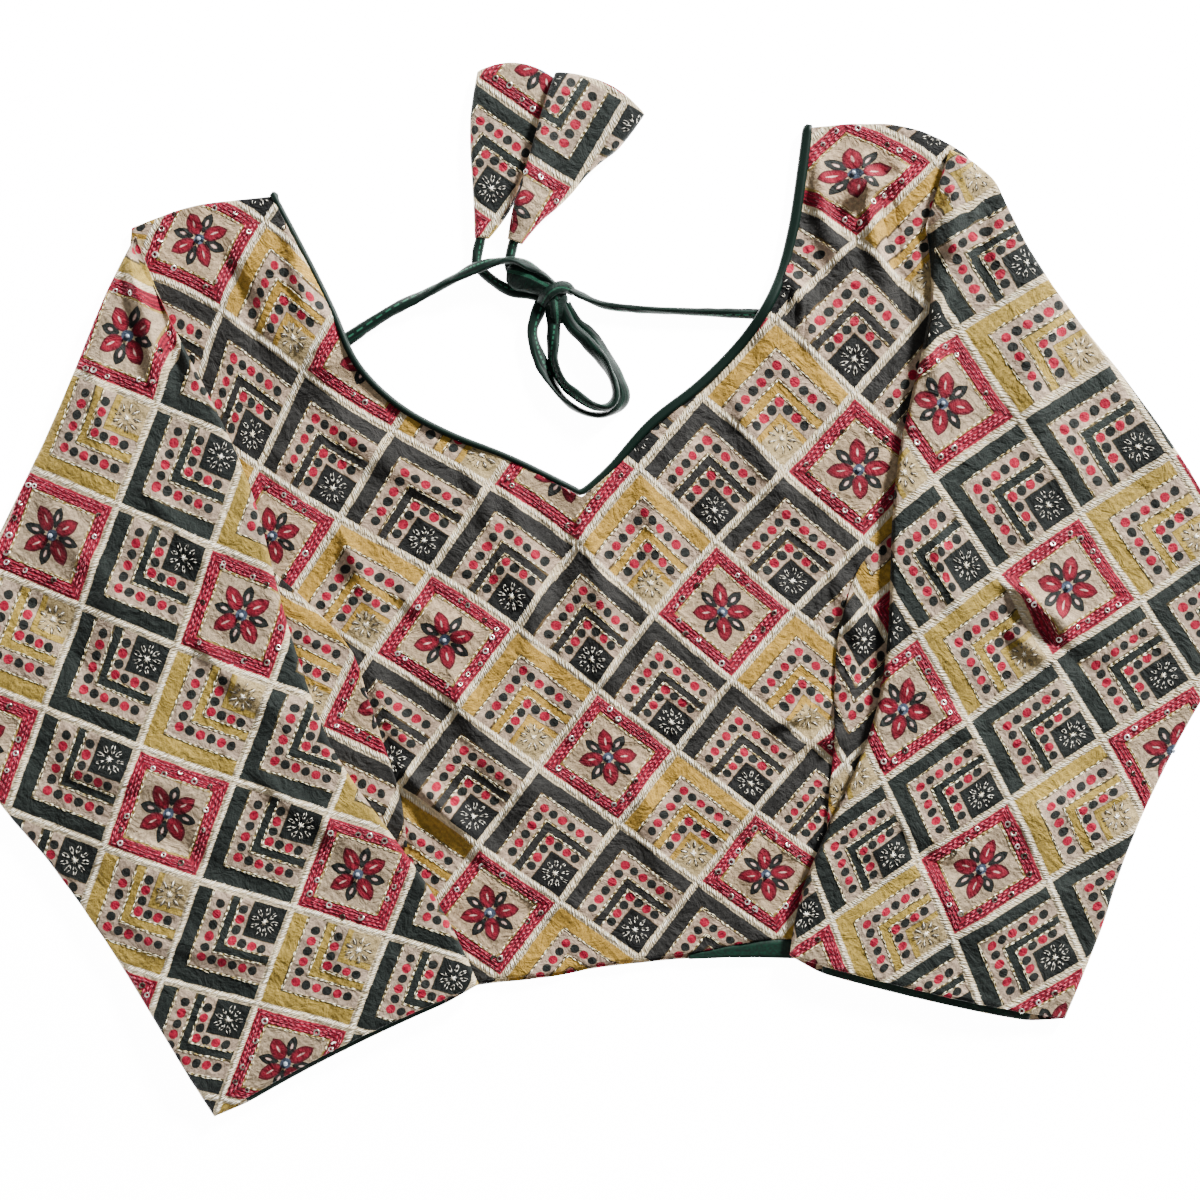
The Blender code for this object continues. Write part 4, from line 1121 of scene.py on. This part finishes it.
def buildTopTree():
    # every piece that can cover another, as one tree, with the piece that each face belongs to
    verts, faces, owners = [], [], []
    covering = [(name, clothPieces[name]) for name in cloths]
    covering += [("tie", strands[key][0]) for key in strands] + [("tie", knotPiece), ("tie", piping)]
    for name, piece in covering:
        first = len(verts)
        verts += [vert.co.copy() for vert in piece.data.vertices]
        faces += [[first + index for index in face.vertices] for face in piece.data.polygons]
        owners += [name] * len(piece.data.polygons)
    return BVHTree.FromPolygons(verts, faces), owners


topTree, topOwners = buildTopTree()


def dropOnCloth(points, name):
    # plan points in mm to places on the piece's upper side, with its normal; misses are marked
    places = np.zeros((len(points), 3))
    normals = np.zeros((len(points), 3))
    found = np.zeros(len(points), bool)
    down = Vector((0, 0, -1))
    for index, (x, y) in enumerate(points):
        place, normal, face, _ = topTree.ray_cast(Vector((x * mm, y * mm, 0.05)), down)
        if face is not None and topOwners[face] == name and normal.z > 0.45:
            places[index], normals[index], found[index] = place, normal, True
    return places, normals, found


def tilesOf(name):
    # the whole tiles that a piece's plan touches, with their kinds
    points = readVectors(clothPieces[name].data)[:, :2] / mm
    coords = lattices[cloths[name]["lattice"]].tiles(points[::7])
    low, high = np.floor(coords.min(0)).astype(int), np.floor(coords.max(0)).astype(int)
    taken = {tuple(pair) for pair in np.floor(coords).astype(int)}
    for i in range(low[0], high[0] + 1):
        for j in range(low[1], high[1] + 1):
            if any((i + a, j + b) in taken for a in (-1, 0, 1) for b in (-1, 0, 1)):
                kind = "slate" if j % 2 else ("olive" if i % 2 else "flower")
                yield i, j, kind


def scatter(label, template, frames, sizes, materials, materialRows=None):
    # one joined mesh of many copies: frames are the copies' places and three axes
    verts, faces = template
    places, alongs, sides, ups = frames
    count = len(places)
    if not count:
        return None
    points = (places[:, None] + verts[None, :, 0, None] * (alongs * sizes[:, 0, None])[:, None]
              + verts[None, :, 1, None] * (sides * sizes[:, 1, None])[:, None]
              + verts[None, :, 2, None] * (ups * sizes[:, 2, None])[:, None])
    corners = (faces[None] + (np.arange(count) * len(verts))[:, None, None]).reshape(-1, 3)
    mesh = bpy.data.meshes.new(label)
    mesh.vertices.add(count * len(verts))
    mesh.vertices.foreach_set("co", points.ravel())
    mesh.loops.add(len(corners) * 3)
    mesh.loops.foreach_set("vertex_index", corners.ravel().astype(np.int32))
    mesh.polygons.add(len(corners))
    mesh.polygons.foreach_set("loop_start", np.arange(0, len(corners) * 3, 3, dtype=np.int32))
    for material in materials:
        mesh.materials.append(material)
    if materialRows is not None:
        mesh.polygons.foreach_set("material_index",
                                  np.repeat(materialRows, len(faces)).astype(np.int32))
    mesh.update(calc_edges=True)
    mesh.shade_smooth()
    return finishPiece(label, mesh)


def sewStitches(name, rows):
    lattice = lattices[cloths[name]["lattice"]]
    starts, _, okStart = dropOnCloth(lattice.place(rows[:, 0:2]), name)
    ends, normals, okEnd = dropOnCloth(lattice.place(rows[:, 2:4]), name)
    ok = okStart & okEnd & (np.abs(starts[:, 2] - ends[:, 2]) < work["steepest"] * mm)
    ok &= random.random(len(rows)) > work["missing"]
    rows, starts, ends, normals = rows[ok], starts[ok], ends[ok], normals[ok]
    if not len(rows):
        return None
    lengths = np.linalg.norm(ends - starts, axis=1)
    alongs = unit(ends - starts)
    sides = unit(np.cross(normals, alongs))
    ups = np.cross(alongs, sides)
    height = work["stitchHeight"] * mm
    frames = ((starts + ends) / 2 + ups * height * work["stitchLift"], alongs, sides, ups)
    widths = rows[:, 4] * mm * random.uniform(0.8, 1.2, len(rows))
    sizes = np.stack([lengths * work["stitchReach"], widths, np.full(len(rows), height)], 1)
    return scatter(cloths[name]["node"] + "_threads", templates["stitch"], frames, sizes,
                   list(threads.values()), rows[:, 5])


def sewRounds(name, label, places):
    # sequins or beads, each tilted and turned a little its own way
    settings = rounds[label]
    if "missing" in settings:
        places = places[random.random(len(places)) > settings["missing"]]
        places = places + random.normal(0, settings["shift"], places.shape)
    lattice = lattices[cloths[name]["lattice"]]
    spots, normals, ok = dropOnCloth(lattice.place(places), name)
    spots, normals = spots[ok], normals[ok]
    if not len(spots):
        return None
    ups = unit(normals + random.normal(0, settings["tilt"], normals.shape))
    spins = random.uniform(0, 2 * math.pi, len(spots))
    sides = unit(np.cross(ups, np.stack([np.cos(spins), np.sin(spins), np.zeros(len(spots))], 1)))
    alongs = np.cross(sides, ups)
    radius = np.full(len(spots), settings["radius"] * mm)
    if "variation" in settings:
        radius *= random.uniform(1 - settings["variation"], 1 + settings["variation"], len(spots))
    sizes = np.stack([radius, radius, radius * settings["height"]], 1)
    frames = (spots + ups * settings["lift"] * mm, alongs, sides, ups)
    return scatter(cloths[name]["node"] + "_" + label, templates[settings["template"]], frames, sizes,
                   [settings["material"]])


def makeWork(name):
    stitches, flowers = [], []
    for i, j, kind in tilesOf(name):
        rows = stitchCharts[kind].copy()
        rows[:, 0:4] += (i, j, i, j) + random.normal(0, work["unevenness"], (len(rows), 4))
        stitches.append(rows)
        if kind == "flower":
            flowers.append((i, j))
    made = [sewStitches(name, np.concatenate(stitches))]
    for label in rounds:
        if flowers:
            places = np.concatenate([rounds[label]["places"] + corner for corner in flowers])
            made.append(sewRounds(name, label, places))
    return [piece for piece in made if piece]


workPieces = {name: makeWork(name) for name in workedCloths}
print("thread and sequin work ready")

# Each cord's path and the pieces at its far end, and each cloth's work, are read through; nothing is made
# from them
cordEnds = {
    "leftString": ("knot", [knotPiece]), "rightString": ("knot", [knotPiece]),
    "leftTail": ("fitting", [clothPieces["leftTassel"]]),
    "rightTail": ("fitting", [clothPieces["rightTassel"]]),
    "outerLoop": ("knot", [knotPiece]), "innerLoop": ("knot", [knotPiece]),
}
for key, (piece, length, path) in strands.items():
    farEnd, withPieces = cordEnds[key]
    line = path[::-1] if key in ("leftTail", "rightTail") else path
    tuple(line[0])
    [tuple(point) for point in line]
    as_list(withPieces if farEnd == "fitting" else [])
for name, settings in cloths.items():
    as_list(workPieces.get(name, []))
